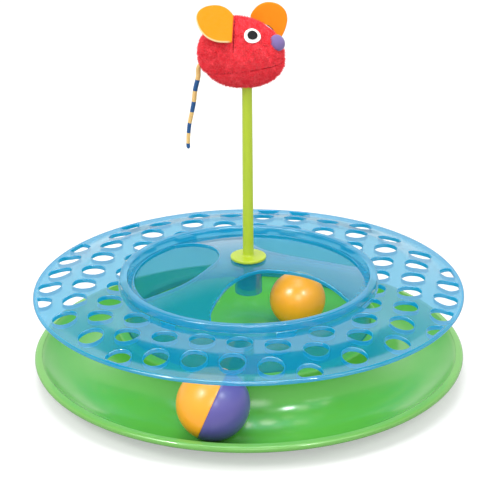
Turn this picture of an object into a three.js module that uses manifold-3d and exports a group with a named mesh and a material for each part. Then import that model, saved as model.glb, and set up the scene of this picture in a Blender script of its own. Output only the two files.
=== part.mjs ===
// Cat ball track toy: a round tray with a ball running in its outer groove, a see-through perforated cover
// that stands on the tray's middle, a second ball in the chamber under the cover's dome, and a plush mouse
// on a mast that plugs into the dome. Millimetres, +Z up. The origin is on the table, under the mast's axis.
import * as THREE from 'three';
import { mergeVertices } from 'three/addons/utils/BufferGeometryUtils.js';
import Module from 'manifold-3d';

const wasm = await Module();
wasm.setup();

// Clearances
const GAP = 0.3; // between pieces that touch
const FIT = 0.4; // between a piece and the recess it drops into
const RUNNING = 0.3; // radial play of a part that turns or slides in a bore
const OVERRUN = 4; // how far a cutter runs past the face it leaves

// Balls
const LOWER_BALL_RADIUS = 19.9;
const LOWER_BALL_ANGLE = THREE.MathUtils.degToRad(-101.3);
const LOWER_SEAM_TILT = THREE.MathUtils.degToRad(22);
const UPPER_BALL_RADIUS = 16.2;
const UPPER_BALL_ANGLE = THREE.MathUtils.degToRad(3);
const UPPER_SEAM_TILT = THREE.MathUtils.degToRad(22);
const SHELL_WALL = 1.8;
const SEAM_LIP = 1.4;
const SEAM_GAP = 0.3;
const BEAD_SHARE = 0.22; // radius of the loose rattle bead, as a share of its ball's radius

// Tray
const TRAY_WALL = 2.4;
const LIP_WIDTH = 4.6;
const LIP_TOP = 13.2;
const LIP_DEPTH = 3.8;
const TRACK_FLOOR = 4.6;
const TRACK_INNER_PLAY = 2.1; // between the lower ball and the groove's wall on the hub's side
const TRACK_OUTER_PLAY = 1.9; // between the lower ball and the lip, across the groove
const PLATFORM_RIM_WIDTH = 5.6;
const PLATFORM_RIM_RISE = 2.5;
const PLATFORM_RIM_ROUND = 1.6;
const CROWN_REACH = 4.3; // how far the upper ball would reach over the flange if the platform were flat
const CHAMBER_TRACK_PLAY = 1.8; // of the inner groove's half width over the ball's radius
const CHAMBER_TRACK_DEPTH = 2;

// Foot pads
const FOOT_COUNT = 4;
const FOOT_RADIUS = 7;
const FOOT_MARGIN = 1; // of the flat that the pad is stuck to, round the pad
const FOOT_FIRST_ANGLE = Math.PI / 4;

// Cover
const COVER_INSET = 0.8; // of the cover's edge from the tray's
const COVER_WALL = 2.5;
const BALL_HEADROOM = 8.7; // between the lower ball and the flange
const SKIRT_WIDTH = 16.6; // of the perforated slope
const SKIRT_DROP = 4.4;
const BRIM_WIDTH = 7.8; // of the flat brim outside the slope
const BAND_WIDTH = 2.7; // of the solid band that the bead ends and no hole enters
const BEAD_RADIUS = 1.25;
const RING_RADIUS = 74.3;
const RING_WIDTH = 4.4;
const RING_RISE = 4.4;
const RING_ROUND = 1.2;
const DRUM_WALL = 2.2;
const DRUM_GUSSET = 2; // bevel under the flange that thickens the drum's joint with it
const LEDGE_WIDTH = 1.5;

// Lattice of paw holes
const HOLE_RADIUS = 6.8;
const HOLE_PITCH = 20.6;
const LATTICE_TURN = THREE.MathUtils.degToRad(-10.7);
const LATTICE_ORIGIN = [-65.5, -73.4];
const LATTICE_REACH = 12; // steps tried each way from the lattice's origin
const RING_SHOW_SHARE = 0.6; // how far a hole's centre may pass the ring that clips it, in hole radii
const BAND_SHOW_SHARE = 0.26; // how far it may pass the solid band

// Dome
const DOME_RISE = 13;
const DOME_WALL = 2.2;
const OPENING_COUNT = 3;
const DOME_RIM_WIDTH = 3.6; // left between the openings and the dome's edge
// The opening's inner edge: distance from the axis as a share of the reach, and the angle in degrees
const OPENING_EDGE_SHARES = [
  [1, -108], [0.86, -111], [0.63, -111], [0.45, -107], [0.3, -90], [0.275, -58],
  [0.37, -38.5], [0.51, -28.5], [0.66, -26], [0.82, -28], [1, -32],
];
const BOSS_SKIRT_WALL = 1.5;
const BOSS_SKIRT_DEPTH = 7.6; // below the flange's top, as the socket's depth is
const BOSS_CLEARANCE = 4.4; // between the boss and the upper ball's path
const BOSS_MOAT = 1.35; // between the socket and the skirt round it
const SOCKET_WALL = 1.7;
const SOCKET_DEPTH = 5.6;

// Mast
const MAST_ROOT_RADIUS = 3.15;
const MAST_TIP_RADIUS = 2.75;
const MAST_DISC_RADIUS = 10.25;
const MAST_DISC_THICKNESS = 1.6;
const MAST_DISC_ROUND = 0.5;
const SPIGOT_RADIUS = 3.05;
const SPIGOT_LENGTH = 17.5;
const SPIGOT_CHAMFER = 0.8;
const MAST_FILLET = 1.2;

// Mouse
const MOUSE_HEADING = THREE.MathUtils.degToRad(-28);
const MOUSE_HALF_LENGTH = 25.7;
const MOUSE_HALF_WIDTH = 18.2;
const MOUSE_CROWN_HEIGHT = 19.7; // from the body's long axis up to the top of its back
const MOUSE_BELLY_DEPTH = 19.4;
const MOUSE_AXIS_HEIGHT = 190.6;
const MOUSE_SETBACK = 3.3; // how far the body's middle lies behind the mast
const MOUSE_TAPER_SHARE = 0.06;
const MOUSE_DROOP = 2.5; // how far both ends of the body hang below its middle
const FELT = 1; // thickness of eyes and nose
const EAR_FELT = 1.4;
const EYE_RADIUS = 4.6;
const PUPIL_RADIUS = 2.7;
const NOSE_HALF_WIDTH = 4.5;
const NOSE_HALF_HEIGHT = 4.6;
const NOSE_HALF_DEPTH = 3;
const EAR_LENGTH = 26.7;
const EAR_WIDTH = 20.3;
const EAR_LIFT = 1.2; // how far the near ear's root stands off the skin
const EAR_SINK = 5.1; // how far the far ear's root lies under the skin
// The ear's outline from one end of its sewn edge round to the other: along the edge as a share of the
// length, and away from it as a share of the width
const EAR_OUTLINE_SHARES = [
  [0.44, 0], [0.45, 0.2], [0.438, 0.424], [0.345, 0.67], [0.187, 0.847], [-0.01, 0.96], [-0.2, 1],
  [-0.37, 0.94], [-0.49, 0.79], [-0.545, 0.6], [-0.545, 0.4], [-0.48, 0.21], [-0.38, 0.08], [-0.28, 0],
];
const MOUSE_SOCKET_WALL = 2.55;
const MOUSE_SOCKET_CAP = 3.7; // over the mast's end
const MOUSE_SOCKET_INSET = 3.4;
const MOUSE_MOUTH_PLAY = 0.8; // between the mast and the cloth gathered round it
const MAST_REACH = 14; // length of mast inside the mouse's socket
const TAIL_RADIUS = 1.4;

// Facets
const ROUND = 60;
const ROUND_DOME = 54;
const ROUND_SMALL = 24;
const ROUND_PATCH = 16;
const OUTLINE_STEPS = 26;
const HOLE_SIDES = 12;
const ARC_STEPS = 4;

const COLOURS = {
  green: 0x52b84a,
  blue: 0x1aa0dc,
  lime: 0xb4d232,
  orange: 0xf7ac32,
  purple: 0x5f5aa5,
  red: 0xe83246,
  amber: 0xfdb216,
  white: 0xf5f5f5,
  black: 0x1c1c20,
  violet: 0x7d64aa,
  tan: 0xe6be78,
  rubber: 0x3c3c3e,
};

function plastic(colour) {
  return new THREE.MeshStandardMaterial({ color: colour, roughness: 0.25, metalness: 0 });
}

function clearPlastic(colour) {
  return new THREE.MeshStandardMaterial({
    color: colour, roughness: 0.12, metalness: 0, transparent: true, opacity: 0.55,
  });
}

function cloth(colour) {
  return new THREE.MeshStandardMaterial({ color: colour, roughness: 0.95, metalness: 0 });
}

// Turns a closed geometry into a solid: shared vertices are merged, collapsed faces dropped and the faces
// turned outwards if the geometry was wound the other way.
function solidOf(geometry) {
  const bare = geometry.clone();
  for (const name of Object.keys(bare.attributes)) {
    if (name !== 'position') bare.deleteAttribute(name);
  }
  const merged = mergeVertices(bare);
  const points = merged.attributes.position.array;
  const corners = [];
  let volume = 0;
  for (let k = 0; k < merged.index.count; k += 3) {
    const [a, b, c] = [0, 1, 2].map((n) => merged.index.getX(k + n));
    if (a === b || b === c || c === a) continue;
    corners.push(a, b, c);
    const [p, q, r] = [a, b, c].map((n) => new THREE.Vector3().fromArray(points, 3 * n));
    volume += p.dot(q.cross(r));
  }
  if (volume < 0) corners.reverse();
  return new wasm.Manifold(new wasm.Mesh({
    numProp: 3,
    vertProperties: new Float32Array(points),
    triVerts: new Uint32Array(corners),
  }));
}

// Turns a solid back into a geometry for a mesh.
function geometryOf(solid) {
  const { vertProperties, triVerts } = solid.getMesh();
  const geometry = new THREE.BufferGeometry();
  geometry.setAttribute('position', new THREE.BufferAttribute(new Float32Array(vertProperties), 3));
  geometry.setIndex(new THREE.BufferAttribute(new Uint32Array(triVerts), 1));
  geometry.computeVertexNormals();
  return geometry;
}

function piece(name, solid, material) {
  const mesh = new THREE.Mesh(geometryOf(solid), material);
  mesh.name = name;
  return mesh;
}

// Points of a circular arc in a section, from one angle to another.
function arc(centreX, centreY, radius, from, to, steps = ARC_STEPS) {
  return Array.from({ length: steps + 1 }, (_, k) => {
    const angle = from + ((to - from) * k) / steps;
    return [centreX + radius * Math.cos(angle), centreY + radius * Math.sin(angle)];
  });
}

// Solid of revolution about Z. A profile that leaves the axis is closed on itself.
function turned(profile, sides = ROUND) {
  const points = profile.map(([radius, height]) => new THREE.Vector2(Math.max(radius, 0), height));
  const onAxis = points[0].x === 0 && points.at(-1).x === 0;
  if (!onAxis) points.push(points[0].clone());
  return solidOf(new THREE.LatheGeometry(points, sides).rotateX(Math.PI / 2));
}

// Prism along Z over a shape, from one height to another.
function prism(shape, bottom, top) {
  const geometry = new THREE.ExtrudeGeometry(shape, { depth: top - bottom, bevelEnabled: false, steps: 1 });
  return solidOf(geometry.translate(0, 0, bottom));
}

function disc(radius, bottom, top, sides = ROUND_SMALL) {
  const height = top - bottom;
  const geometry = new THREE.CylinderGeometry(radius, radius, height, sides);
  return solidOf(geometry.rotateX(Math.PI / 2).translate(0, 0, bottom + height / 2));
}

// Radii, worked out from the ring to the tray's edge
const RING_INNER = RING_RADIUS - RING_WIDTH;
const DRUM_INNER = RING_INNER - LEDGE_WIDTH;
const DRUM_OUTER = DRUM_INNER + DRUM_WALL;
const HUB_RADIUS = DRUM_OUTER + FIT + PLATFORM_RIM_WIDTH;
const TRACK_INNER_SWEEP = LOWER_BALL_RADIUS + TRACK_INNER_PLAY; // radius of the groove's section by the hub
const TRACK_RADIUS = HUB_RADIUS + TRACK_INNER_SWEEP; // from the mast's axis to the outer groove's bottom
const LIP_INNER = TRACK_RADIUS + LOWER_BALL_RADIUS + TRACK_OUTER_PLAY;
const TRAY_RADIUS = LIP_INNER + LIP_WIDTH;
const COVER_RADIUS = TRAY_RADIUS - COVER_INSET;
const BAND_INNER = COVER_RADIUS - BAND_WIDTH;
const BRIM_INNER = COVER_RADIUS - BRIM_WIDTH;
const SKIRT_START = BRIM_INNER - SKIRT_WIDTH; // where the flange begins to slope

// Radii round the mast
const SOCKET_BORE = SPIGOT_RADIUS + RUNNING;
const SOCKET_RADIUS = SOCKET_BORE + SOCKET_WALL;
const BOSS_RADIUS = SOCKET_RADIUS + BOSS_MOAT + BOSS_SKIRT_WALL;
const CHAMBER_TRACK_RADIUS = BOSS_RADIUS + BOSS_CLEARANCE + UPPER_BALL_RADIUS;
const CHAMBER_TRACK_HALF_WIDTH = UPPER_BALL_RADIUS + CHAMBER_TRACK_PLAY;

// Heights above the table
const COVER_HEIGHT = TRACK_FLOOR + 2 * LOWER_BALL_RADIUS + BALL_HEADROOM + COVER_WALL; // the flange's top
const PLATFORM_HEIGHT = COVER_HEIGHT - 2 * UPPER_BALL_RADIUS + CROWN_REACH;
const RIM_TOP = PLATFORM_HEIGHT + PLATFORM_RIM_RISE;
const SOCKET_BOTTOM = COVER_HEIGHT - SOCKET_DEPTH;

// Tray: the groove with its lip, and the hub with its platform. They are moulded as one, and a joint of GAP
// stands at the inner edge of the flat that the feet are stuck to.
const FOOT_FLAT_HALF_WIDTH = FOOT_RADIUS + FOOT_MARGIN;
const HUB_FOOT_REACH = FOOT_FLAT_HALF_WIDTH + GAP; // from the groove's bottom in to the hub's foot
const HUB_SWEEP_CENTRE = TRACK_FLOOR + TRACK_INNER_SWEEP;
const TRAY_UNDERSIDE = TRACK_FLOOR - TRAY_WALL;
const DOWN = -Math.PI / 2;

// Radius of the arc that is tangent to the groove's floor and reaches the lip's inner edge.
function outerSweep() {
  const across = LIP_INNER - TRACK_RADIUS;
  const up = LIP_TOP - TRACK_FLOOR;
  return (across * across + up * up) / (2 * up);
}

function trackProfile() {
  const sweep = outerSweep();
  const reach = Math.asin((LIP_INNER - TRACK_RADIUS) / sweep);
  const halfDepth = LIP_DEPTH / 2;
  const undersideSweep = sweep + TRAY_WALL;
  const undersideCentre = TRAY_UNDERSIDE + undersideSweep;
  const undersideReach = Math.asin((LIP_INNER - TRACK_RADIUS) / undersideSweep);
  const flatReach = Math.asin(FOOT_FLAT_HALF_WIDTH / undersideSweep);
  const innerReach = Math.asin(FOOT_FLAT_HALF_WIDTH / TRACK_INNER_SWEEP);
  return [
    ...arc(TRACK_RADIUS, HUB_SWEEP_CENTRE, TRACK_INNER_SWEEP, DOWN - innerReach, DOWN, 2),
    ...arc(TRACK_RADIUS, TRACK_FLOOR + sweep, sweep, DOWN, DOWN + reach).slice(1),
    ...arc(TRAY_RADIUS - halfDepth, LIP_TOP - halfDepth, halfDepth, Math.PI / 2, DOWN, 3),
    ...arc(TRACK_RADIUS, undersideCentre, undersideSweep, DOWN + undersideReach, DOWN + flatReach, 3),
    [TRACK_RADIUS + FOOT_FLAT_HALF_WIDTH, TRAY_UNDERSIDE],
    [TRACK_RADIUS - FOOT_FLAT_HALF_WIDTH, TRAY_UNDERSIDE],
  ];
}

function hubProfile() {
  const grooveSweep = (CHAMBER_TRACK_HALF_WIDTH ** 2 + CHAMBER_TRACK_DEPTH ** 2) / (2 * CHAMBER_TRACK_DEPTH);
  const grooveReach = Math.asin(CHAMBER_TRACK_HALF_WIDTH / grooveSweep);
  const grooveCentre = PLATFORM_HEIGHT - CHAMBER_TRACK_DEPTH + grooveSweep;
  const ceiling = PLATFORM_HEIGHT - CHAMBER_TRACK_DEPTH - TRAY_WALL;
  const underSweep = TRACK_INNER_SWEEP + TRAY_WALL;
  const rimStart = RIM_TOP - PLATFORM_RIM_ROUND;
  const sweepStart = Math.asin(Math.max(0, HUB_SWEEP_CENTRE - rimStart) / TRACK_INNER_SWEEP) - Math.PI;
  const sweepEnd = DOWN - Math.asin(HUB_FOOT_REACH / TRACK_INNER_SWEEP);
  const rimCentre = TRACK_RADIUS + TRACK_INNER_SWEEP * Math.cos(sweepStart) - PLATFORM_RIM_ROUND;
  return [
    [0, PLATFORM_HEIGHT],
    ...arc(CHAMBER_TRACK_RADIUS, grooveCentre, grooveSweep, DOWN - grooveReach, DOWN + grooveReach),
    [DRUM_OUTER + FIT, PLATFORM_HEIGHT],
    [DRUM_OUTER + FIT, RIM_TOP],
    ...arc(rimCentre, rimStart, PLATFORM_RIM_ROUND, Math.PI / 2, 0, 2),
    ...arc(TRACK_RADIUS, HUB_SWEEP_CENTRE, TRACK_INNER_SWEEP, sweepStart, sweepEnd, 5),
    ...arc(TRACK_RADIUS, HUB_SWEEP_CENTRE, underSweep, DOWN - Math.asin(HUB_FOOT_REACH / underSweep),
      Math.asin(Math.max(0, HUB_SWEEP_CENTRE - ceiling) / underSweep) - Math.PI, 3),
    [0, ceiling],
  ];
}

function tray() {
  return [
    piece('base_tray', turned(trackProfile()), plastic(COLOURS.green)),
    piece('tray_hub', turned(hubProfile()), plastic(COLOURS.green)),
  ];
}

function feet() {
  const top = TRAY_UNDERSIDE - GAP;
  return Array.from({ length: FOOT_COUNT }, (_, k) => {
    const foot = piece(`foot_pad_${k + 1}`, disc(FOOT_RADIUS, 0, top), cloth(COLOURS.rubber));
    const angle = FOOT_FIRST_ANGLE + (2 * Math.PI * k) / FOOT_COUNT;
    foot.position.set(TRACK_RADIUS * Math.cos(angle), TRACK_RADIUS * Math.sin(angle), 0);
    return foot;
  });
}

// Cover: drum, ring, flat flange, sloped skirt and brim in one moulding
const COVER_UNDERSIDE = COVER_HEIGHT - COVER_WALL;
const BRIM_TOP = COVER_HEIGHT - SKIRT_DROP;
const RING_TOP = COVER_HEIGHT + RING_RISE;
const LEDGE_HEIGHT = COVER_HEIGHT - DOME_WALL - GAP;
const DRUM_FOOT = PLATFORM_HEIGHT + GAP;

function coverProfile() {
  const beadCentre = COVER_RADIUS - BEAD_RADIUS;
  return [
    [DRUM_INNER, DRUM_FOOT],
    [DRUM_OUTER, DRUM_FOOT],
    [DRUM_OUTER, COVER_UNDERSIDE - DRUM_GUSSET],
    [DRUM_OUTER + DRUM_GUSSET, COVER_UNDERSIDE],
    [SKIRT_START, COVER_UNDERSIDE],
    [BRIM_INNER, BRIM_TOP - COVER_WALL],
    ...arc(beadCentre, BRIM_TOP - BEAD_RADIUS, BEAD_RADIUS, -Math.PI / 2, Math.PI / 2, 2),
    [BRIM_INNER, BRIM_TOP],
    [SKIRT_START, COVER_HEIGHT],
    [RING_RADIUS, COVER_HEIGHT],
    ...arc(RING_RADIUS - RING_ROUND, RING_TOP - RING_ROUND, RING_ROUND, 0, Math.PI / 2, 2),
    ...arc(RING_INNER + RING_ROUND, RING_TOP - RING_ROUND, RING_ROUND, Math.PI / 2, Math.PI, 2),
    [RING_INNER, LEDGE_HEIGHT],
    [DRUM_INNER, LEDGE_HEIGHT],
  ];
}

// Centres of the paw holes: a square lattice clipped by the ring and by the solid band.
function holeCentres() {
  const nearest = RING_RADIUS - RING_SHOW_SHARE * HOLE_RADIUS;
  const farthest = BAND_INNER + BAND_SHOW_SHARE * HOLE_RADIUS;
  const centres = [];
  for (let i = -LATTICE_REACH; i <= LATTICE_REACH; i += 1) {
    for (let j = -LATTICE_REACH; j <= LATTICE_REACH; j += 1) {
      const step = new THREE.Vector2(i * HOLE_PITCH, j * HOLE_PITCH).rotateAround(
        new THREE.Vector2(), LATTICE_TURN,
      );
      const centre = step.add(new THREE.Vector2(...LATTICE_ORIGIN));
      if (centre.length() > nearest && centre.length() < farthest) centres.push(centre);
    }
  }
  return centres;
}

function cover() {
  const bottom = BRIM_TOP - COVER_WALL - OVERRUN;
  const top = COVER_HEIGHT + OVERRUN;
  const holes = holeCentres()
    .map((centre) => disc(HOLE_RADIUS, bottom, top, HOLE_SIDES).translate([centre.x, centre.y, 0]))
    .reduce((all, hole) => all.add(hole));
  const window = turned([
    [RING_RADIUS, bottom], [BAND_INNER, bottom], [BAND_INNER, top], [RING_RADIUS, top],
  ]);
  const solid = turned(coverProfile()).subtract(holes.intersect(window));
  return piece('perforated_cover', solid, clearPlastic(COLOURS.blue));
}

// Dome: a shallow cap with three openings, the mast's socket and a skirt round it
const DOME_RADIUS = RING_INNER - GAP;
const DOME_SWEEP = (DOME_RADIUS ** 2 + DOME_RISE ** 2) / (2 * DOME_RISE);
const DOME_TOP = COVER_HEIGHT + DOME_RISE;
const OPENING_REACH = DOME_RADIUS - DOME_RIM_WIDTH;

// Height of the dome's outer face, or of its inner face when a wall is given, at a radius.
function domeHeight(radius, wall = 0) {
  return DOME_TOP - DOME_SWEEP + Math.sqrt((DOME_SWEEP - wall) ** 2 - radius ** 2);
}

function domeFace(from, to, wall, steps) {
  return Array.from({ length: steps + 1 }, (_, k) => {
    const radius = from + ((to - from) * k) / steps;
    return [radius, domeHeight(radius, wall)];
  });
}

function domeProfile() {
  const skirtInner = BOSS_RADIUS - BOSS_SKIRT_WALL;
  const skirtBottom = COVER_HEIGHT - BOSS_SKIRT_DEPTH;
  return [
    ...domeFace(SOCKET_BORE, DOME_RADIUS, 0, 6),
    [DOME_RADIUS, LEDGE_HEIGHT + GAP],
    ...domeFace(DOME_RADIUS - GAP, BOSS_RADIUS, DOME_WALL, 5),
    [BOSS_RADIUS, skirtBottom],
    [skirtInner, skirtBottom],
    [skirtInner, domeHeight(skirtInner, DOME_WALL)],
    [SOCKET_RADIUS, domeHeight(SOCKET_RADIUS, DOME_WALL)],
    [SOCKET_RADIUS, SOCKET_BOTTOM],
    [SOCKET_BORE, SOCKET_BOTTOM],
  ];
}

function openingShape() {
  const edge = OPENING_EDGE_SHARES.map(([share, degrees]) => {
    const angle = THREE.MathUtils.degToRad(degrees);
    const radius = share * OPENING_REACH;
    return new THREE.Vector2(radius * Math.cos(angle), radius * Math.sin(angle));
  });
  const rim = arc(0, 0, OPENING_REACH, edge.at(-1).angle(), edge[0].angle(), OUTLINE_STEPS / 2);
  return new THREE.Shape([
    ...new THREE.SplineCurve(edge).getPoints(OUTLINE_STEPS),
    ...rim.slice(1, -1).map((point) => new THREE.Vector2(...point)),
  ]);
}

function dome() {
  const opening = prism(openingShape(), SOCKET_BOTTOM, DOME_TOP + OVERRUN);
  let solid = turned(domeProfile(), ROUND_DOME);
  for (let k = 0; k < OPENING_COUNT; k += 1) {
    solid = solid.subtract(opening.rotate([0, 0, (360 * k) / OPENING_COUNT]));
  }
  return piece('centre_dome', solid, clearPlastic(COLOURS.blue));
}

// Mast: spigot, disc and tapered rod in one moulding
const MAST_SEAT = domeHeight(0) + GAP;
const MOUSE_BELLY = bellyHeight();
const MAST_TOP = MOUSE_BELLY + MOUSE_SOCKET_INSET + MAST_REACH;

function mast() {
  const spigotEnd = MAST_SEAT - SPIGOT_LENGTH;
  const discTop = MAST_SEAT + MAST_DISC_THICKNESS;
  const profile = [
    [0, spigotEnd],
    [SPIGOT_RADIUS - SPIGOT_CHAMFER, spigotEnd],
    [SPIGOT_RADIUS, spigotEnd + SPIGOT_CHAMFER],
    [SPIGOT_RADIUS, MAST_SEAT],
    [MAST_DISC_RADIUS - MAST_DISC_ROUND, MAST_SEAT],
    [MAST_DISC_RADIUS, MAST_SEAT + MAST_DISC_ROUND],
    [MAST_DISC_RADIUS, discTop - MAST_DISC_ROUND],
    [MAST_DISC_RADIUS - MAST_DISC_ROUND, discTop],
    ...arc(MAST_ROOT_RADIUS + MAST_FILLET, discTop + MAST_FILLET, MAST_FILLET, -Math.PI / 2, -Math.PI, 3),
    [MAST_TIP_RADIUS, MAST_TOP - MAST_TIP_RADIUS / 2],
    [MAST_TIP_RADIUS / 2, MAST_TOP],
    [0, MAST_TOP],
  ];
  return piece('mast_rod', turned(profile, ROUND_PATCH), plastic(COLOURS.lime));
}

// Balls: two half shells that meet in a stepped seam, round a loose bead
function halfShell(radius, hasTongue) {
  const inner = radius - SHELL_WALL;
  const middle = radius - SHELL_WALL / 2;
  const face = SEAM_GAP / 2;
  const stepRadius = hasTongue ? middle - face : middle + face;
  const stepReach = hasTongue ? -SEAM_LIP : SEAM_LIP + SEAM_GAP;
  const step = [[stepRadius, face], [stepRadius, stepReach], [inner, stepReach]];
  const innerStart = hasTongue ? 0 : Math.asin(stepReach / inner) + SEAM_GAP / inner;
  const outerStart = Math.asin(face / radius);
  const profile = [
    ...arc(0, 0, radius, Math.PI / 2, outerStart, 6),
    ...step,
    ...arc(0, 0, inner, innerStart, Math.PI / 2, 4).slice(hasTongue ? 0 : 1),
  ];
  profile[0][0] = 0;
  profile.at(-1)[0] = 0;
  return turned(profile, ROUND_SMALL);
}

// The pole of the first half lies along the groove, tipped by the seam's tilt, so the seam turns like a
// wheel when the ball rolls round the axis.
function ball(prefix, radius, trackRadius, angle, floor, tilt, colours) {
  const group = new THREE.Group();
  const centreHeight = floor + GAP + radius;
  group.position.set(trackRadius * Math.cos(angle), trackRadius * Math.sin(angle), centreHeight);
  const along = new THREE.Vector3(-Math.sin(angle), Math.cos(angle), 0);
  const pole = along.multiplyScalar(Math.cos(tilt)).add(new THREE.Vector3(0, 0, -Math.sin(tilt)));
  const up = new THREE.Vector3(0, 0, 1);
  const first = piece(`${prefix}_shell_a`, halfShell(radius, true), plastic(colours[0]));
  first.quaternion.setFromUnitVectors(up, pole);
  const second = piece(`${prefix}_shell_b`, halfShell(radius, false), plastic(colours[1]));
  second.quaternion.setFromUnitVectors(up, pole.clone().negate());
  const beadRadius = BEAD_SHARE * radius;
  const bead = new THREE.SphereGeometry(beadRadius, 2 * ARC_STEPS, ARC_STEPS);
  const loose = piece(`${prefix}_bead`, solidOf(bead), plastic(COLOURS.white));
  loose.position.z = -(radius - SHELL_WALL - SEAM_GAP - beadRadius);
  group.add(first, second, loose);
  return group;
}

// Mouse: an egg-shaped stuffed body whose long axis points along the group's own +X
function mouseRing(u) {
  return Math.sqrt(Math.max(0, 1 - u * u)) * (1 - MOUSE_TAPER_SHARE * u);
}

// Point of the body's skin, pushed out by an offset, with u along the body and the angle round it.
function mousePoint(u, angle, offset = 0) {
  const ring = mouseRing(u);
  const halfHeight = Math.sin(angle) > 0 ? MOUSE_CROWN_HEIGHT : MOUSE_BELLY_DEPTH;
  return new THREE.Vector3(
    (MOUSE_HALF_LENGTH + offset) * u - MOUSE_SETBACK,
    (MOUSE_HALF_WIDTH + offset) * ring * Math.cos(angle),
    MOUSE_AXIS_HEIGHT - MOUSE_DROOP * u ** 4 + (halfHeight + offset) * ring * Math.sin(angle),
  );
}

function bellyHeight() {
  return mousePoint(MOUSE_SETBACK / MOUSE_HALF_LENGTH, -Math.PI / 2).z;
}

// Closed grid over the skin: the rings crowd towards both ends, where the body rounds off.
function mouseForm(offset = 0, rings = 22, sides = 28) {
  const positions = [];
  const index = [];
  for (let i = 0; i <= rings; i += 1) {
    const u = -Math.cos((Math.PI * i) / rings);
    for (let j = 0; j < sides; j += 1) {
      const point = mousePoint(i === 0 ? -1 : i === rings ? 1 : u, (2 * Math.PI * j) / sides, offset);
      positions.push(...point.toArray());
    }
  }
  for (let i = 0; i < rings; i += 1) {
    for (let j = 0; j < sides; j += 1) {
      const [a, b] = [i * sides + j, i * sides + ((j + 1) % sides)];
      index.push(a, b, a + sides, b, b + sides, a + sides);
    }
  }
  const geometry = new THREE.BufferGeometry();
  geometry.setAttribute('position', new THREE.Float32BufferAttribute(positions, 3));
  geometry.setIndex(index);
  return solidOf(geometry);
}

// Outward direction of the skin, from the slopes of mousePoint in both of its parameters.
function mouseNormal(u, angle) {
  const nudge = MOUSE_TAPER_SHARE / MOUSE_HALF_LENGTH;
  const alongU = mousePoint(u + nudge, angle).sub(mousePoint(u - nudge, angle));
  const round = mousePoint(u, angle + nudge).sub(mousePoint(u, angle - nudge));
  return round.cross(alongU).normalize();
}

// Felt patch that follows the skin between two offsets, cut out round a place on it.
function patch(u, angle, radius, from, to) {
  const normal = mouseNormal(u, angle);
  const place = mousePoint(u, angle).addScaledVector(normal, radius);
  const geometry = new THREE.CylinderGeometry(radius, radius, 2 * radius, ROUND_PATCH);
  geometry.rotateX(Math.PI / 2);
  geometry.applyMatrix4(facing(normal).setPosition(place));
  return solidOf(geometry).intersect(mouseForm(to).subtract(mouseForm(from)));
}

// Turn that brings +Z to a direction and keeps +Y as upright as it can be.
function facing(direction) {
  return new THREE.Matrix4().lookAt(direction, new THREE.Vector3(), new THREE.Vector3(0, 0, 1));
}

const MOUSE_SOCKET_RADIUS = MAST_TIP_RADIUS + RUNNING + MOUSE_SOCKET_WALL;
const MOUSE_SOCKET_LENGTH = MAST_REACH + GAP + MOUSE_SOCKET_CAP;

// The body has a pocket for the socket and a narrower mouth below it, where the cloth is gathered.
function mouseBody() {
  const pocketBottom = MOUSE_BELLY + MOUSE_SOCKET_INSET - GAP;
  const pocket = disc(MOUSE_SOCKET_RADIUS + GAP, pocketBottom,
    pocketBottom + MOUSE_SOCKET_LENGTH + 2 * GAP);
  const mouth = disc(MAST_TIP_RADIUS + MOUSE_MOUTH_PLAY, MOUSE_BELLY - OVERRUN, pocketBottom + GAP);
  return piece('mouse_body', mouseForm().subtract(pocket.add(mouth)), cloth(COLOURS.red));
}

function mouseSocket() {
  const bottom = MOUSE_BELLY + MOUSE_SOCKET_INSET;
  const bore = MAST_TIP_RADIUS + RUNNING;
  const profile = [
    [bore, bottom],
    [MOUSE_SOCKET_RADIUS, bottom],
    [MOUSE_SOCKET_RADIUS, bottom + MOUSE_SOCKET_LENGTH],
    [0, bottom + MOUSE_SOCKET_LENGTH],
    [0, bottom + MAST_REACH + GAP],
    [bore, bottom + MAST_REACH + GAP],
  ];
  const outside = disc(MOUSE_SOCKET_RADIUS, profile[1][1], profile[2][1]);
  const inside = disc(bore, bottom - OVERRUN, profile[4][1]);
  return piece('mouse_socket', outside.subtract(inside), plastic(COLOURS.white));
}

// Places on the skin: share of the half length, and the angle up from the side
const EYE_PLACE = [0.46, THREE.MathUtils.degToRad(53)];
const NOSE_PLACE = [0.86, Math.PI / 2];
const EAR_PLACE = [0.02, THREE.MathUtils.degToRad(57)];
const NOSE_FACING = new THREE.Vector3(0.74, -0.4, 0.54).normalize();
// Directions of each ear: down its sewn edge, and away from that edge
const NEAR_EAR_AXES = [new THREE.Vector3(0.355, -0.765, -0.538), new THREE.Vector3(-0.889, -0.454, 0.06)];
const FAR_EAR_AXES = [new THREE.Vector3(0, 0, -1), new THREE.Vector3(0.883, 0.469, 0)];

function mouseFace() {
  const [u, angle] = EYE_PLACE;
  const whiteTop = GAP + FELT;
  const pieces = [];
  for (const [side, turn] of [['left', angle], ['right', Math.PI - angle]]) {
    const white = patch(u, turn, EYE_RADIUS, GAP, whiteTop);
    const pupil = patch(u, turn, PUPIL_RADIUS, whiteTop + GAP, whiteTop + GAP + FELT);
    pieces.push(piece(`eye_white_${side}`, white, cloth(COLOURS.white)));
    pieces.push(piece(`eye_pupil_${side}`, pupil, cloth(COLOURS.black)));
  }
  return pieces;
}

// Padded oval that sits on top of the snout.
function mouseNose() {
  const geometry = new THREE.SphereGeometry(1, ROUND_PATCH, ROUND_PATCH / 2);
  geometry.scale(NOSE_HALF_WIDTH, NOSE_HALF_HEIGHT, NOSE_HALF_DEPTH);
  geometry.applyMatrix4(facing(NOSE_FACING).setPosition(mousePoint(...NOSE_PLACE)));
  return piece('nose', solidOf(geometry).subtract(mouseForm(GAP)), cloth(COLOURS.violet));
}

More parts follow.
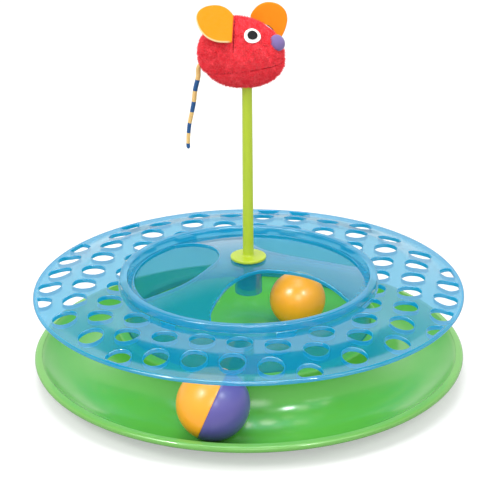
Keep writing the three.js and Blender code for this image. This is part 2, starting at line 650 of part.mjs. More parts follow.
// Felt ear: one flat sheet laid along its two directions, cut back to the skin it is sewn to.
function ear(name, root, [edge, away], colour) {
  const outline = EAR_OUTLINE_SHARES.map(([along, across]) => (
    new THREE.Vector2(along * EAR_LENGTH, across * EAR_WIDTH)
  ));
  const shape = new THREE.Shape(new THREE.SplineCurve(outline).getPoints(OUTLINE_STEPS));
  const normal = new THREE.Vector3().crossVectors(edge, away).normalize();
  const basis = new THREE.Matrix4().makeBasis(edge, away, normal).setPosition(root);
  const sheet = prism(shape, -EAR_FELT / 2, EAR_FELT / 2).transform(basis.elements);
  return piece(name, sheet.subtract(mouseForm(GAP)), cloth(colour));
}

function mouseEars() {
  const [u, angle] = EAR_PLACE;
  const nearRoot = mousePoint(u, Math.PI - angle, EAR_LIFT);
  const farRoot = mousePoint(u, angle);
  farRoot.z -= EAR_SINK;
  return [
    ear('ear_right', nearRoot, NEAR_EAR_AXES, COLOURS.amber),
    ear('ear_left', farRoot, FAR_EAR_AXES, COLOURS.orange),
  ];
}

// The tail's route, in the mouse's own frame: out of the rump and down under its own weight.
const TAIL_ROUTE = [
  [-27.6, -1.3, 181.2], [-28.9, -1.5, 180.2], [-29.7, -1.7, 178.6], [-29.9, -1.7, 176.6],
  [-29.9, -1.7, 174.6], [-30.3, -1.9, 171.8], [-31, -2.3, 168.7], [-31.7, -2.7, 165], [-32.4, -3, 158.8],
  [-33.5, -3.6, 152.4], [-34.6, -4.3, 146.5], [-35.3, -4.6, 140.2], [-35.6, -4.8, 133.7],
  [-35.4, -4.7, 131.1],
];
const TAIL_STEPS = 26;
const TAIL_SIDES = 8;

function tail() {
  const route = new THREE.CatmullRomCurve3(TAIL_ROUTE.map((point) => new THREE.Vector3(...point)));
  const section = new THREE.Shape(
    Array.from({ length: TAIL_SIDES }, (_, k) => {
      const angle = (2 * Math.PI * k) / TAIL_SIDES;
      return new THREE.Vector2(TAIL_RADIUS * Math.cos(angle), TAIL_RADIUS * Math.sin(angle));
    }),
  );
  const geometry = new THREE.ExtrudeGeometry(section, { extrudePath: route, steps: TAIL_STEPS });
  return piece('tail_cord', solidOf(geometry), cloth(COLOURS.tan));
}

function mouse() {
  const group = new THREE.Group();
  group.rotation.z = MOUSE_HEADING;
  group.add(mouseBody(), mouseSocket(), ...mouseFace(), mouseNose(), ...mouseEars(), tail());
  return group;
}

const toy = new THREE.Group();
toy.add(...tray(), ...feet(), cover(), dome(), mast(), mouse());
toy.add(ball('lower_ball', LOWER_BALL_RADIUS, TRACK_RADIUS, LOWER_BALL_ANGLE, TRACK_FLOOR,
  LOWER_SEAM_TILT, [COLOURS.purple, COLOURS.orange]));
toy.add(ball('upper_ball', UPPER_BALL_RADIUS, CHAMBER_TRACK_RADIUS, UPPER_BALL_ANGLE,
  PLATFORM_HEIGHT - CHAMBER_TRACK_DEPTH, UPPER_SEAM_TILT, [COLOURS.purple, COLOURS.orange]));

export default toy;
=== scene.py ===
"""The looks of a cat ball track toy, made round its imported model.

A green tray with a ball groove carries a see-through blue cover full of paw holes, a domed centre plate
over a second ball, and a stuffed mouse on a lime mast. Sizes are in millimetres until a mesh is made, and
a mesh is in metres, in the model's own frame.
"""

from __future__ import annotations

import logging
import math
from collections.abc import Callable
from dataclasses import dataclass
from enum import Enum

import bmesh
import bpy
import numpy as np
from mathutils import Matrix, Vector
from mathutils.geometry import delaunay_2d_cdt

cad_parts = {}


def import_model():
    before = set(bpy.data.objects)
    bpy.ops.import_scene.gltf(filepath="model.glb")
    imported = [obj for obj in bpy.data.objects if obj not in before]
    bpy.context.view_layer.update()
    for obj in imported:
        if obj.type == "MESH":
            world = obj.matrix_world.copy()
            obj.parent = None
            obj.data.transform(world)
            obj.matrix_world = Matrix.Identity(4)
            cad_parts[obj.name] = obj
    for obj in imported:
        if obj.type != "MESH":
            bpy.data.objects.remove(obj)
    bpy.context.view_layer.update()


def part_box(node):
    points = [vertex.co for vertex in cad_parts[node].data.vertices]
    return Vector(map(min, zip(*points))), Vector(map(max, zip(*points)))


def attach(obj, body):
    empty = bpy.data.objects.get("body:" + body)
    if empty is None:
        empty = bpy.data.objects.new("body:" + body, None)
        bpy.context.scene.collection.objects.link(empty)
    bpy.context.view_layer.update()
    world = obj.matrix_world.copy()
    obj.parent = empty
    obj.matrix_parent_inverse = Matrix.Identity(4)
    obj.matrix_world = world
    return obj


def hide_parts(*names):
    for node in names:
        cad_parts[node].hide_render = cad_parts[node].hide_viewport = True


log = logging.getLogger("toy")

MM = 0.001  # metres in a millimetre
GAP = 0.3  # between pieces that touch
FIT = 0.4  # between a piece and the recess it drops into
TURN = 2 * math.pi
RIGHT = math.pi / 2  # a right angle
UP = np.array([0.0, 0.0, 1.0])
ROUND_SIDES = 288  # of the tray, the cover and the dome
SMALL_SIDES = 96  # of the mast, the balls and the feet
SHARP = math.radians(38)  # edges steeper than this stay crisp
WELD = 4e-6  # metres within which the rims of neighbouring patches are one


# Arrays of points


def unit(vectors: np.ndarray) -> np.ndarray:
    """Vectors brought to length 1 along their last axis."""
    return vectors / np.linalg.norm(vectors, axis=-1, keepdims=True)


def arc(x: float, z: float, radius: float, start: float, end: float, steps: int = 16) -> np.ndarray:
    """Points of a circular arc: centre plus radius times cosine and sine of evenly spaced angles.

    Args:
        x: The centre's distance from the axis.
        z: The centre's height.
        radius: The arc's radius.
        start: First angle, in radians.
        end: Last angle.
        steps: Number of chords.

    Returns:
        An array of steps + 1 rows of radius and height.
    """
    angle = np.linspace(start, end, steps + 1)
    return np.column_stack((x + radius * np.cos(angle), z + radius * np.sin(angle)))


def bowed(half: float, rise: float) -> float:
    """Radius of the circle that rises by a given height over half a chord."""
    return (half**2 + rise**2) / (2 * rise)


def fillet(corners: np.ndarray, radii: np.ndarray, steps: int = 6) -> np.ndarray:
    """Rounds the corners of an open section.

    Each inner corner becomes the quadratic curve (1-t)^2 a + 2t(1-t) c + t^2 b, from a, one radius before
    the corner c, to b, one radius after it. A radius is held to under half of the shorter side.

    Args:
        corners: Rows of radius and height.
        radii: One radius for each corner; those of both ends aren't used.
        steps: Number of chords for a corner.

    Returns:
        The rounded section's points.
    """
    before, here, after = corners[:-2], corners[1:-1], corners[2:]
    back, onward = before - here, after - here
    back_length = np.linalg.norm(back, axis=1, keepdims=True)
    onward_length = np.linalg.norm(onward, axis=1, keepdims=True)
    reach = np.minimum(radii[1:-1, None], 0.49 * np.minimum(back_length, onward_length))
    start, end = here + back / back_length * reach, here + onward / onward_length * reach
    t = np.linspace(0, 1, steps + 1)[None, :, None]
    curves = (1 - t) ** 2 * start[:, None] + 2 * t * (1 - t) * here[:, None] + t**2 * end[:, None]
    return np.vstack((corners[:1], curves.reshape(-1, 2), corners[-1:]))


def circle(radius: float, sides: int = ROUND_SIDES) -> np.ndarray:
    """Points round a circle in the plane: radius times cosine and sine of evenly spaced angles."""
    angle = TURN * np.arange(sides) / sides
    return radius * np.column_stack((np.cos(angle), np.sin(angle)))


def spokes(side: np.ndarray, up: np.ndarray, count: int) -> np.ndarray:
    """Directions spread evenly in the plane of two others: cos(angle) side + sin(angle) up.

    Args:
        side: One direction, or rows of them.
        up: As many directions, square to the first.
        count: Number of spokes.

    Returns:
        The spokes on a new axis before the last.
    """
    ring = circle(1.0, count)
    return ring[:, :1] * side[..., None, :] + ring[:, 1:] * up[..., None, :]


def travelled(line: np.ndarray, power: float = 1.0) -> np.ndarray:
    """Distance along a line to each of its points, with each step raised to a power."""
    steps = np.linalg.norm(np.diff(line, axis=0), axis=1) ** power
    return np.concatenate(([0.0], np.cumsum(steps)))


def along(line: np.ndarray, at: np.ndarray) -> np.ndarray:
    """Points of a line at given distances along it, by linear interpolation."""
    length = travelled(line)
    return np.column_stack([np.interp(at, length, column) for column in line.T])


def spline(points: np.ndarray, per_span: int, power: float = 0.0) -> np.ndarray:
    """Catmull-Rom curve through points, by the Barry-Goldman pyramid of linear blends.

    Knots lie |gap|^power apart: power 0 spaces them evenly, and 0.5 is the centripetal curve, which
    keeps tight bends calm. The end gaps are repeated outwards.

    Args:
        points: Rows of two or three coordinates.
        per_span: Steps between two points.
        power: Exponent of the knot spacing.

    Returns:
        The curve's points, both ends included.
    """
    p = np.vstack((2 * points[:1] - points[1:2], points, 2 * points[-1:] - points[-2:-1]))
    knots = travelled(p, power)
    t0, t1, t2, t3 = (knots[k : len(knots) - 3 + k, None, None] for k in range(4))
    p0, p1, p2, p3 = (p[k : len(p) - 3 + k, None, :] for k in range(4))
    t = t1 + (t2 - t1) * (np.arange(per_span) / per_span)[None, :, None]
    a1 = ((t1 - t) * p0 + (t - t0) * p1) / (t1 - t0)
    a2 = ((t2 - t) * p1 + (t - t1) * p2) / (t2 - t1)
    a3 = ((t3 - t) * p2 + (t - t2) * p3) / (t3 - t2)
    b1 = ((t2 - t) * a1 + (t - t0) * a2) / (t2 - t0)
    b2 = ((t3 - t) * a2 + (t - t1) * a3) / (t3 - t1)
    curve = ((t2 - t) * b1 + (t - t1) * b2) / (t2 - t1)
    return np.vstack((curve.reshape(-1, points.shape[1]), points[-1:]))


def resampled(loop: np.ndarray, count: int) -> np.ndarray:
    """A closed loop's points moved to equal steps along it, by linear interpolation of its length."""
    closed = np.vstack((loop, loop[:1]))
    return along(closed, np.linspace(0, travelled(closed)[-1], count, endpoint=False))


def softened(loop: np.ndarray, width: float) -> np.ndarray:
    """A closed loop with rounded corners: each point becomes a Gaussian mean of its neighbours.

    Args:
        loop: Evenly spaced points.
        width: The Gaussian's standard deviation along the loop.

    Returns:
        As many points.
    """
    step = np.linalg.norm(loop - np.roll(loop, 1, axis=0), axis=1).mean()
    rate = np.fft.fftfreq(len(loop), step)[:, None]
    pull = np.exp(-2 * (math.pi * width * rate) ** 2)
    return np.fft.ifft(np.fft.fft(loop, axis=0) * pull, axis=0).real


def signed_area(loop: np.ndarray) -> float:
    """Area of a closed flat loop, by the shoelace sum: negative if it runs clockwise."""
    x, y = loop.T
    return 0.5 * float(np.sum(x * np.roll(y, -1) - y * np.roll(x, -1)))


def pushed_out(loop: np.ndarray, offset: float) -> np.ndarray:
    """A closed flat loop moved outwards along its own normals, the quarter turns of its tangents.

    Args:
        loop: Its points.
        offset: How far they move.

    Returns:
        As many points.
    """
    tangent = np.roll(loop, -1, axis=0) - np.roll(loop, 1, axis=0)
    normal = unit(np.column_stack((tangent[:, 1], -tangent[:, 0])))
    return loop + offset * math.copysign(1, signed_area(loop)) * normal


def eased(rim: float) -> tuple[np.ndarray, np.ndarray]:
    """A quarter circle that leads from a face into a hole.

    Args:
        rim: Its radius.

    Returns:
        How far each point stands outside the hole, and how far it lies below the face.
    """
    quarter = np.linspace(0, RIGHT, 5)
    return rim * (1 - np.sin(quarter)), rim * (1 - np.cos(quarter))


def enclosed(points: np.ndarray, start: np.ndarray, end: np.ndarray) -> np.ndarray:
    """Which points of the plane lie inside closed loops and outside the loops within them.

    A point is inside if a ray from it along x crosses an odd number of edges.

    Args:
        points: The points to test.
        start: First end of each edge of all loops.
        end: Second end of each edge.

    Returns:
        True for each point inside.
    """
    level = 1e-12  # an edge that rises less is level
    x, y = points[:, :1], points[:, 1:]
    spans = (start[:, 1] > y) != (end[:, 1] > y)
    rise = end[:, 1] - start[:, 1]
    rise = np.where(np.abs(rise) < level, level, rise)
    meets = start[:, 0] + (y - start[:, 1]) * (end[:, 0] - start[:, 0]) / rise
    return (spans & (x < meets)).sum(1) % 2 == 1


def smoothstep(low: float, high: float, value: np.ndarray) -> np.ndarray:
    """0 below low, 1 above high, and 3t^2 - 2t^3 between them."""
    t = np.clip((value - low) / (high - low), 0, 1)
    return t * t * (3 - 2 * t)


def noise(points: np.ndarray, cell: float, seed: int) -> np.ndarray:
    """Smooth value noise: seeded random values on a cubic lattice, blended by 3t^2 - 2t^3 each way.

    Args:
        points: Rows of three coordinates.
        cell: The lattice's spacing.
        seed: Picks the random values.

    Returns:
        One value from -1 to 1 for each point.
    """
    size = 32
    table = np.random.default_rng(seed).uniform(-1, 1, (size, size, size))
    scaled = points / cell
    low = np.floor(scaled).astype(int)
    part = smoothstep(0, 1, scaled - low)
    total = np.zeros(len(points))
    for corner in np.ndindex(2, 2, 2):
        weight = np.prod(np.where(corner, part, 1 - part), axis=1)
        total += weight * table[tuple(((low + corner) % size).T)]
    return total


# Patches and meshes


@dataclass
class Patch:
    """Points, faces and one painted value for each point, before they become a mesh."""

    points: np.ndarray
    faces: np.ndarray
    paint: np.ndarray

    @staticmethod
    def grid(points: np.ndarray, paint: np.ndarray | float = 0.0) -> Patch:
        """A grid of points, closed round its columns.

        Args:
            points: Array of rows, columns and three coordinates.
            paint: A value for each point or row, or one for all.

        Returns:
            The patch, with one quad for each cell.
        """
        rows, columns = points.shape[:2]
        number = np.arange(rows * columns).reshape(rows, columns)
        here, above = number[:-1], number[1:]
        quads = (here, np.roll(here, -1, axis=1), np.roll(above, -1, axis=1), above)
        faces = np.stack(quads, axis=-1).reshape(-1, 4)
        values = np.broadcast_to(np.asarray(paint, float), (rows, columns)).reshape(-1)
        return Patch(points.reshape(-1, 3), faces, values)

    @staticmethod
    def turned(section: np.ndarray, paint: np.ndarray | float = 0.0, sides: int = ROUND_SIDES) -> Patch:
        """A section turned round +Z: x and y are its radius times cosine and sine, z is its height.

        Args:
            section: Rows of radius and height.
            paint: A value for each row, or one for all.
            sides: Steps round the axis.

        Returns:
            The patch.
        """
        flat = section[:, None, :1] * circle(1.0, sides)[None]
        height = np.broadcast_to(section[:, None, 1:], (*flat.shape[:2], 1))
        return Patch.grid(np.concatenate((flat, height), axis=2), np.reshape(paint, (-1, 1)))

    @staticmethod
    def flat(loops: list[np.ndarray], inner: np.ndarray) -> Patch:
        """Triangles between an outer loop and the loops inside it, which stay open.

        Args:
            loops: Closed loops of points in the plane, the outermost first.
            inner: Free points that keep the triangles small.

        Returns:
            The patch at height 0.
        """
        starts = np.cumsum([0] + [len(loop) for loop in loops])
        edge = np.vstack([
            np.column_stack((np.arange(a, b), np.roll(np.arange(a, b), -1)))
            for a, b in zip(starts[:-1], starts[1:])
        ])
        spots = np.vstack((*loops, inner))
        with_hull, closeness = 0, 1e-5
        found = delaunay_2d_cdt(spots.tolist(), edge.tolist(), [], with_hull, closeness)
        points, faces = np.array([list(p) for p in found[0]]), np.array(found[2])
        faces = faces[enclosed(points[faces].mean(1), spots[edge[:, 0]], spots[edge[:, 1]])]
        nil = np.zeros(len(points))
        return Patch(np.column_stack((points, nil)), faces, nil)

    def at(self, points: np.ndarray) -> Patch:
        """The same faces and paint on other points."""
        return Patch(points, self.faces, self.paint)

    def lifted(self, height: Callable[[np.ndarray], np.ndarray]) -> Patch:
        """The same patch with its heights given by a function of the distance from the axis."""
        flat = self.points[:, :2]
        return self.at(np.column_stack((flat, height(np.linalg.norm(flat, axis=1)))))

    def moved(self, place: np.ndarray, matrix: np.ndarray | None = None) -> Patch:
        """The patch turned by a 3 by 3 matrix, if there is one, and then moved."""
        return self.at((self.points if matrix is None else self.points @ matrix.T) + place)


def made(name: str, patches: list[Patch], finish: bpy.types.Material, weld: bool = True) -> bpy.types.Object:
    """Joins patches into one object whose rims are welded and whose faces look outwards.

    Args:
        name: The object's name.
        patches: Their points are in millimetres.
        finish: The object's material.
        weld: False for a cloud of small closed shapes that are right as they stand.

    Returns:
        The object, in metres.
    """
    mesh = bpy.data.meshes.new(name)
    points = np.vstack([patch.points for patch in patches]) * MM
    starts = np.cumsum([0] + [len(patch.points) for patch in patches[:-1]])
    corners = np.concatenate([(p.faces + s).reshape(-1) for p, s in zip(patches, starts)])
    sizes = np.concatenate([np.full(len(p.faces), p.faces.shape[1]) for p in patches])
    mesh.vertices.add(len(points))
    mesh.loops.add(len(corners))
    mesh.polygons.add(len(sizes))
    mesh.vertices.foreach_set("co", points.astype(np.float32).reshape(-1))
    mesh.loops.foreach_set("vertex_index", corners.astype(np.int32))
    mesh.polygons.foreach_set("loop_start", (np.cumsum(sizes) - sizes).astype(np.int32))
    paint = mesh.attributes.new("paint", "FLOAT", "POINT")
    paint.data.foreach_set("value", np.concatenate([p.paint for p in patches]).astype(np.float32))
    mesh.update(calc_edges=True)
    mesh.validate()
    if weld:
        form = bmesh.new()
        form.from_mesh(mesh)
        bmesh.ops.remove_doubles(form, verts=form.verts, dist=WELD)
        bmesh.ops.recalc_face_normals(form, faces=form.faces)
        form.to_mesh(mesh)
        form.free()
    mesh.shade_smooth()
    mesh.set_sharp_from_angle(angle=SHARP)
    mesh.materials.append(finish)
    piece = bpy.data.objects.new(name, mesh)
    bpy.context.collection.objects.link(piece)
    return piece


def settled(piece: bpy.types.Object, body: str, slot: str, *nodes: str) -> None:
    """Lets a piece ride on a body and stand for the nodes that it replaces.

    Args:
        piece: The finished object.
        body: The body that it moves with.
        slot: The record's material slot; not used.
        nodes: Nodes that it replaces, if any.
    """
    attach(piece, body)
    if nodes:
        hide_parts(*nodes)
    log.info("%s: %d faces on %s", piece.name, len(piece.data.polygons), body)


# Finishes


class Colour(Enum):
    """Linear colours of the toy's materials and of its surround."""

    TRAY = (0.068, 0.365, 0.037)
    # paler green: random drift of the tray and the mast, and the painted highlight on the tray's lip
    TRAY_PALE = (0.140, 0.395, 0.075)
    BLUE = (0.003, 0.430, 0.770)
    BLUE_DEEP = (0.001, 0.350, 0.680)
    BLUE_TINT = (0.520, 0.790, 0.890)
    BLUE_SHADE = (0.930, 0.980, 0.990)
    LIME = (0.450, 0.560, 0.015)
    ORANGE = (0.930, 0.375, 0.012)
    PURPLE = (0.095, 0.080, 0.330)
    WHITE = (0.800, 0.800, 0.780)
    PLUSH = (0.800, 0.010, 0.030)
    # lighter plush: random mottle, and painted highlight on the cloth's bulges and the pile's tips
    PLUSH_TIP = (0.950, 0.100, 0.125)
    # painted shade in the plush's seams
    PLUSH_SEAM_SHADE = (0.300, 0.004, 0.012)
    AMBER = (0.860, 0.225, 0.001)
    FAR_ORANGE = (0.900, 0.290, 0.008)
    # painted highlight on the near ear's cut edge
    EAR_EDGE_HIGHLIGHT = (0.850, 0.600, 0.320)
    BLACK = (0.004, 0.004, 0.006)
    VIOLET = (0.175, 0.120, 0.310)
    TAN = (0.720, 0.470, 0.170)
    CORD_BLUE = (0.002, 0.070, 0.230)
    RUBBER = (0.030, 0.030, 0.032)
    FLOOR = (0.930, 0.930, 0.930)
    LIGHT = (1.000, 1.000, 1.000)


class Tree:
    """The node tree of a new material or world, and short calls that fill it."""

    def __init__(self, owner: bpy.types.Material | bpy.types.World, output: str) -> None:
        """Starts the tree with nothing but its output node."""
        self.owner = owner
        owner.use_nodes = True
        self.nodes = owner.node_tree.nodes
        self.links = owner.node_tree.links
        self.nodes.clear()
        self.output = self.nodes.new("ShaderNode" + output)

    @staticmethod
    def of_material(name: str) -> Tree:
        """The tree of a new material."""
        return Tree(bpy.data.materials.new(name), "OutputMaterial")

    def add(self, kind: str, values: dict | None = None, **settings: object) -> bpy.types.Node:
        """Adds a node.

        Args:
            kind: The node's type without its "ShaderNode".
            values: Input name or number, to a plain value or the socket that feeds it.
            settings: Properties of the node.

        Returns:
            The node.
        """
        node = self.nodes.new("ShaderNode" + kind)
        for name, value in settings.items():
            setattr(node, name, value)
        for name, value in (values or {}).items():
            if isinstance(value, bpy.types.NodeSocket):
                self.links.new(value, node.inputs[name])
            elif isinstance(value, Colour):
                node.inputs[name].default_value = (*value.value, 1)
            else:
                node.inputs[name].default_value = value
        return node

    def paint(self) -> bpy.types.NodeSocket:
        """The value painted on the mesh's points."""
        return self.add("Attribute", attribute_name="paint").outputs["Fac"]

    def noise(self, scale: float, detail: float = 3.0) -> bpy.types.NodeSocket:
        """Noise over the object.

        Args:
            scale: Cells in a metre.
            detail: Octaves.

        Returns:
            The noise's value, about 0.5.
        """
        place = self.add("TexCoord").outputs["Object"]
        return self.add("TexNoise", {"Vector": place, "Scale": scale, "Detail": detail}).outputs["Fac"]

    def ranged(self, value: bpy.types.NodeSocket, low: float, high: float, to: tuple) -> bpy.types.NodeSocket:
        """A value carried from one range to another and held there.

        Args:
            value: The value.
            low: Start of its range.
            high: End of its range.
            to: The new range.

        Returns:
            The carried value.
        """
        values = {"Value": value, "From Min": low, "From Max": high, "To Min": to[0], "To Max": to[1]}
        return self.add("MapRange", values).outputs[0]

    def worked(self, kind: str, first: object, second: object, held: bool = False) -> bpy.types.NodeSocket:
        """Two numbers or sockets added, multiplied or the like, and held between 0 and 1 if asked."""
        return self.add("Math", {0: first, 1: second}, operation=kind, use_clamp=held).outputs[0]

    def mixed(self, share: bpy.types.NodeSocket, first: object, second: object) -> bpy.types.NodeSocket:
        """Two colours mixed by a share.

        Args:
            share: 0 for the first, 1 for the second.
            first: A Colour or a socket.
            second: A Colour or a socket.

        Returns:
            The mixed colour.
        """
        return self.add("Mix", {0: share, 6: first, 7: second}, data_type="RGBA").outputs[2]

    def chosen(self, share: bpy.types.NodeSocket, first: object, second: object) -> bpy.types.NodeSocket:
        """Two values mixed by a share, as mixed() does with colours."""
        return self.add("Mix", {0: share, 2: first, 3: second}).outputs[0]

    def layered(self, share: object, first: bpy.types.Node, second: bpy.types.Node) -> bpy.types.Node:
        """Two shaders mixed by a share, 0 for the first and 1 for the second."""
        return self.add("MixShader", {0: share, 1: first.outputs[0], 2: second.outputs[0]})

    def bumped(self, height: bpy.types.NodeSocket, strength: float, distance: float) -> bpy.types.NodeSocket:
        """A normal that follows a height.

        Args:
            height: The height's socket.
            strength: Share of the bump that shows.
            distance: Height of the bump in millimetres.

        Returns:
            The normal.
        """
        values = {"Height": height, "Strength": strength, "Distance": distance * MM}
        return self.add("Bump", values).outputs[0]

    def finish(self, shader: bpy.types.Node) -> bpy.types.Material | bpy.types.World:
        """Sends a shader to the output and gives the material or the world."""
        self.links.new(shader.outputs[0], self.output.inputs[0])
        return self.owner

    def principled(self, values: dict) -> bpy.types.Material:
        """Finishes the tree with a Principled shader of these inputs and gives the material."""
        return self.finish(self.add("BsdfPrincipled", values))


@dataclass(frozen=True)
class Moulded:
    """Opaque moulded plastic under a fine skin: one shade drifts at random towards a paler one, and is
    painted towards it where the mesh is painted, a painted highlight.
    """

    name: str
    colour: Colour
    pale: Colour
    roughness: float = 0.28
    skin: float = 0.012  # height of the texture, in millimetres
    skin_scale: float = 900.0
    ior: float = 1.5

    def material(self) -> bpy.types.Material:
        """Builds the finish."""
        tree = Tree.of_material(self.name)
        drift = tree.ranged(tree.noise(6.0, 1.0), 0.2, 0.8, (0.0, 0.3))
        # random drift, plus the painted value: a painted highlight
        share = tree.worked("ADD", drift, tree.paint(), held=True)
        uneven = 0.05  # how far the roughness strays
        rough = (self.roughness - uneven, self.roughness + uneven)
        return tree.principled({
            "Base Color": tree.mixed(share, self.colour, self.pale),
            "Roughness": tree.ranged(tree.noise(60.0), 0.3, 0.7, rough),
            "Normal": tree.bumped(tree.noise(self.skin_scale, 2.0), 0.6, self.skin),
            "IOR": self.ior,
        })


@dataclass(frozen=True)
class SeeThrough:
    """Clear tinted plastic: a filter with a little body colour, more and deeper on painted edges, and gloss.

    The gloss grows towards grazing sight as base + (1 - base) * facing^5. It lets more light pass to what
    lies under it than to the eye, as clear plastic does that also gathers light from its sides.
    """

    name: str
    body: float = 0.33  # share of body colour on a broad face
    edge: float = 0.92  # share on an edge or a wall seen end on
    shade: float = 0.18  # how much of these shares light meets on its way through
    gloss: float = 0.08  # what a face mirrors when seen square on
    roughness: float = 0.07

    def material(self) -> bpy.types.Material:
        """Builds the finish."""
        tree = Tree.of_material(self.name)
        normal = tree.bumped(tree.noise(38.0, 2.0), 0.35, 0.25)
        path = tree.add("LightPath").outputs
        lighting = tree.worked("MAXIMUM", path["Is Shadow Ray"], path["Is Diffuse Ray"])
        painted = tree.ranged(tree.paint(), 0.0, 1.0, (self.body, self.edge))
        share = tree.worked("MULTIPLY", painted, tree.ranged(lighting, 0.0, 1.0, (1.0, self.shade)))
        colour = tree.mixed(tree.paint(), Colour.BLUE, Colour.BLUE_DEEP)
        diffuse = tree.add("BsdfDiffuse", {"Color": colour})
        through = tree.add("BsdfTranslucent", {"Color": colour})
        tint = tree.mixed(lighting, Colour.BLUE_TINT, Colour.BLUE_SHADE)
        clear = tree.add("BsdfTransparent", {"Color": tint})
        sheet = tree.layered(share, clear, tree.layered(0.5, diffuse, through))
        facing = tree.add("LayerWeight", {"Blend": 0.5, "Normal": normal}).outputs["Facing"]
        mirror = tree.ranged(tree.worked("POWER", facing, 5.0), 0.0, 1.0, (self.gloss, 1.0))
        shine = tree.add("BsdfGlossy", {"Roughness": self.roughness, "Normal": normal})
        return tree.finish(tree.layered(mirror, sheet, shine))


@dataclass(frozen=True)
class Cloth:
    """Felt or pile: fibres as fine noise, a lighter tip colour where the mesh is painted, and a soft sheen.
    On the plush that paint is painted highlight and shade, and on the near ear's cut edge a painted
    highlight.

    Where the paint is under a tenth, the cloth darkens towards a root colour, if it has one: painted shade,
    in the plush's seams.
    """

    name: str
    colour: Colour
    tip: Colour
    fibre_scale: float = 1500.0
    fibre_height: float = 0.1
    mottle: float = 0.2
    sheen: float = 0.25
    # darker colour where the paint is under a tenth: painted shade in the plush's seams
    root: Colour | None = None

    def material(self) -> bpy.types.Material:
        """Builds the finish."""
        tree = Tree.of_material(self.name)
        mottle = tree.ranged(tree.noise(420.0), 0.3, 0.7, (0.0, self.mottle))
        share = tree.worked("ADD", tree.paint(), mottle, held=True)
        colour = tree.mixed(share, self.colour, self.tip)
        # painted shade where the paint is under a tenth
        if self.root:
            colour = tree.mixed(tree.ranged(tree.paint(), 0.0, 0.1, (1.0, 0.0)), colour, self.root)
        return tree.principled({
            "Base Color": colour,
            "Roughness": 0.95,
            "Sheen Weight": self.sheen,
            "Sheen Roughness": 0.5,
            "Specular IOR Level": 0.2,
            "Normal": tree.bumped(tree.noise(self.fibre_scale, 4.0), 0.9, self.fibre_height),
        })


@dataclass(frozen=True)
class BandedThread:
    """Thread wound in bands of two colours: the painted value says which."""

    name: str

    def material(self) -> bpy.types.Material:
        """Builds the finish."""
        tree = Tree.of_material(self.name)
        share = tree.ranged(tree.paint(), 0.45, 0.55, (0.0, 1.0))
        return tree.principled({
            "Base Color": tree.mixed(share, Colour.TAN, Colour.CORD_BLUE),
            "Roughness": 0.8,
            "Sheen Weight": 0.15,
            "Normal": tree.bumped(tree.noise(1800.0), 0.8, 0.1),
        })


@dataclass(frozen=True)
class Speckled:
    """Lime plastic, smooth but for a fine sandy texture where the mesh is painted."""

    name: str

    def material(self) -> bpy.types.Material:
        """Builds the finish."""
        tree = Tree.of_material(self.name)
        drift = tree.ranged(tree.noise(30.0), 0.3, 0.7, (0.0, 0.2))
        speck = tree.worked("MULTIPLY", tree.noise(1400.0, 2.0), tree.paint())
        return tree.principled({
            "Base Color": tree.mixed(drift, Colour.LIME, Colour.TRAY_PALE),
            "Roughness": tree.ranged(tree.paint(), 0.0, 1.0, (0.2, 0.3)),
            "Normal": tree.bumped(speck, 1.0, 0.25),
            "IOR": 1.5,
        })


# Sub-assemblies


@dataclass
class Sizes:
    """Driving sizes shared by the tray, the cover and the dome, and the places that follow from them."""

    lower_ball: float = 19.9
    upper_ball: float = 16.2
    ring_radius: float = 74.3
    ring_width: float = 4.4
    ledge_width: float = 1.5
    drum_wall: float = 2.2
    rim_width: float = 5.6
    hub_play: float = 2.1  # between the lower ball and the hub
    lip_play: float = 1.9  # between the lower ball and the lip
    lip_width: float = 4.6
    cover_inset: float = 0.8  # of the cover's edge from the tray's
    band_width: float = 2.7
    brim_width: float = 7.8
    slope_width: float = 16.6
    slope_drop: float = 4.4
    headroom: float = 8.7  # over the lower ball, under the cover
    ball_rise: float = 4.3  # of the upper ball over the cover, if it stood on the platform
    track_floor: float = 4.6
    tray_wall: float = 2.4
    cover_wall: float = 2.5
    dome_wall: float = 2.2
    boss_radius: float = 7.9
    boss_play: float = 4.4  # between the boss and the upper ball
    chamber_depth: float = 2.0  # of the inner groove

    def __post_init__(self) -> None:
        """Works outwards from the ring to the tray's edge, and up from the table."""
        self.ring_inner = self.ring_radius - self.ring_width
        self.drum_inner = self.ring_inner - self.ledge_width
        self.drum_outer = self.drum_inner + self.drum_wall
        self.hub_radius = self.drum_outer + FIT + self.rim_width
        self.inner_sweep = self.lower_ball + self.hub_play
        self.track_radius = self.hub_radius + self.inner_sweep
        self.lip_inner = self.track_radius + self.lower_ball + self.lip_play
        self.tray_radius = self.lip_inner + self.lip_width
        self.cover_radius = self.tray_radius - self.cover_inset
        self.band_inner = self.cover_radius - self.band_width
        self.brim_inner = self.cover_radius - self.brim_width
        self.skirt_start = self.brim_inner - self.slope_width
        self.cover_height = self.track_floor + 2 * self.lower_ball + self.headroom + self.cover_wall
        self.brim_top = self.cover_height - self.slope_drop
        self.platform = self.cover_height - 2 * self.upper_ball + self.ball_rise
        self.chamber_radius = self.boss_radius + self.boss_play + self.upper_ball
        self.ledge_height = self.cover_height - self.dome_wall - GAP


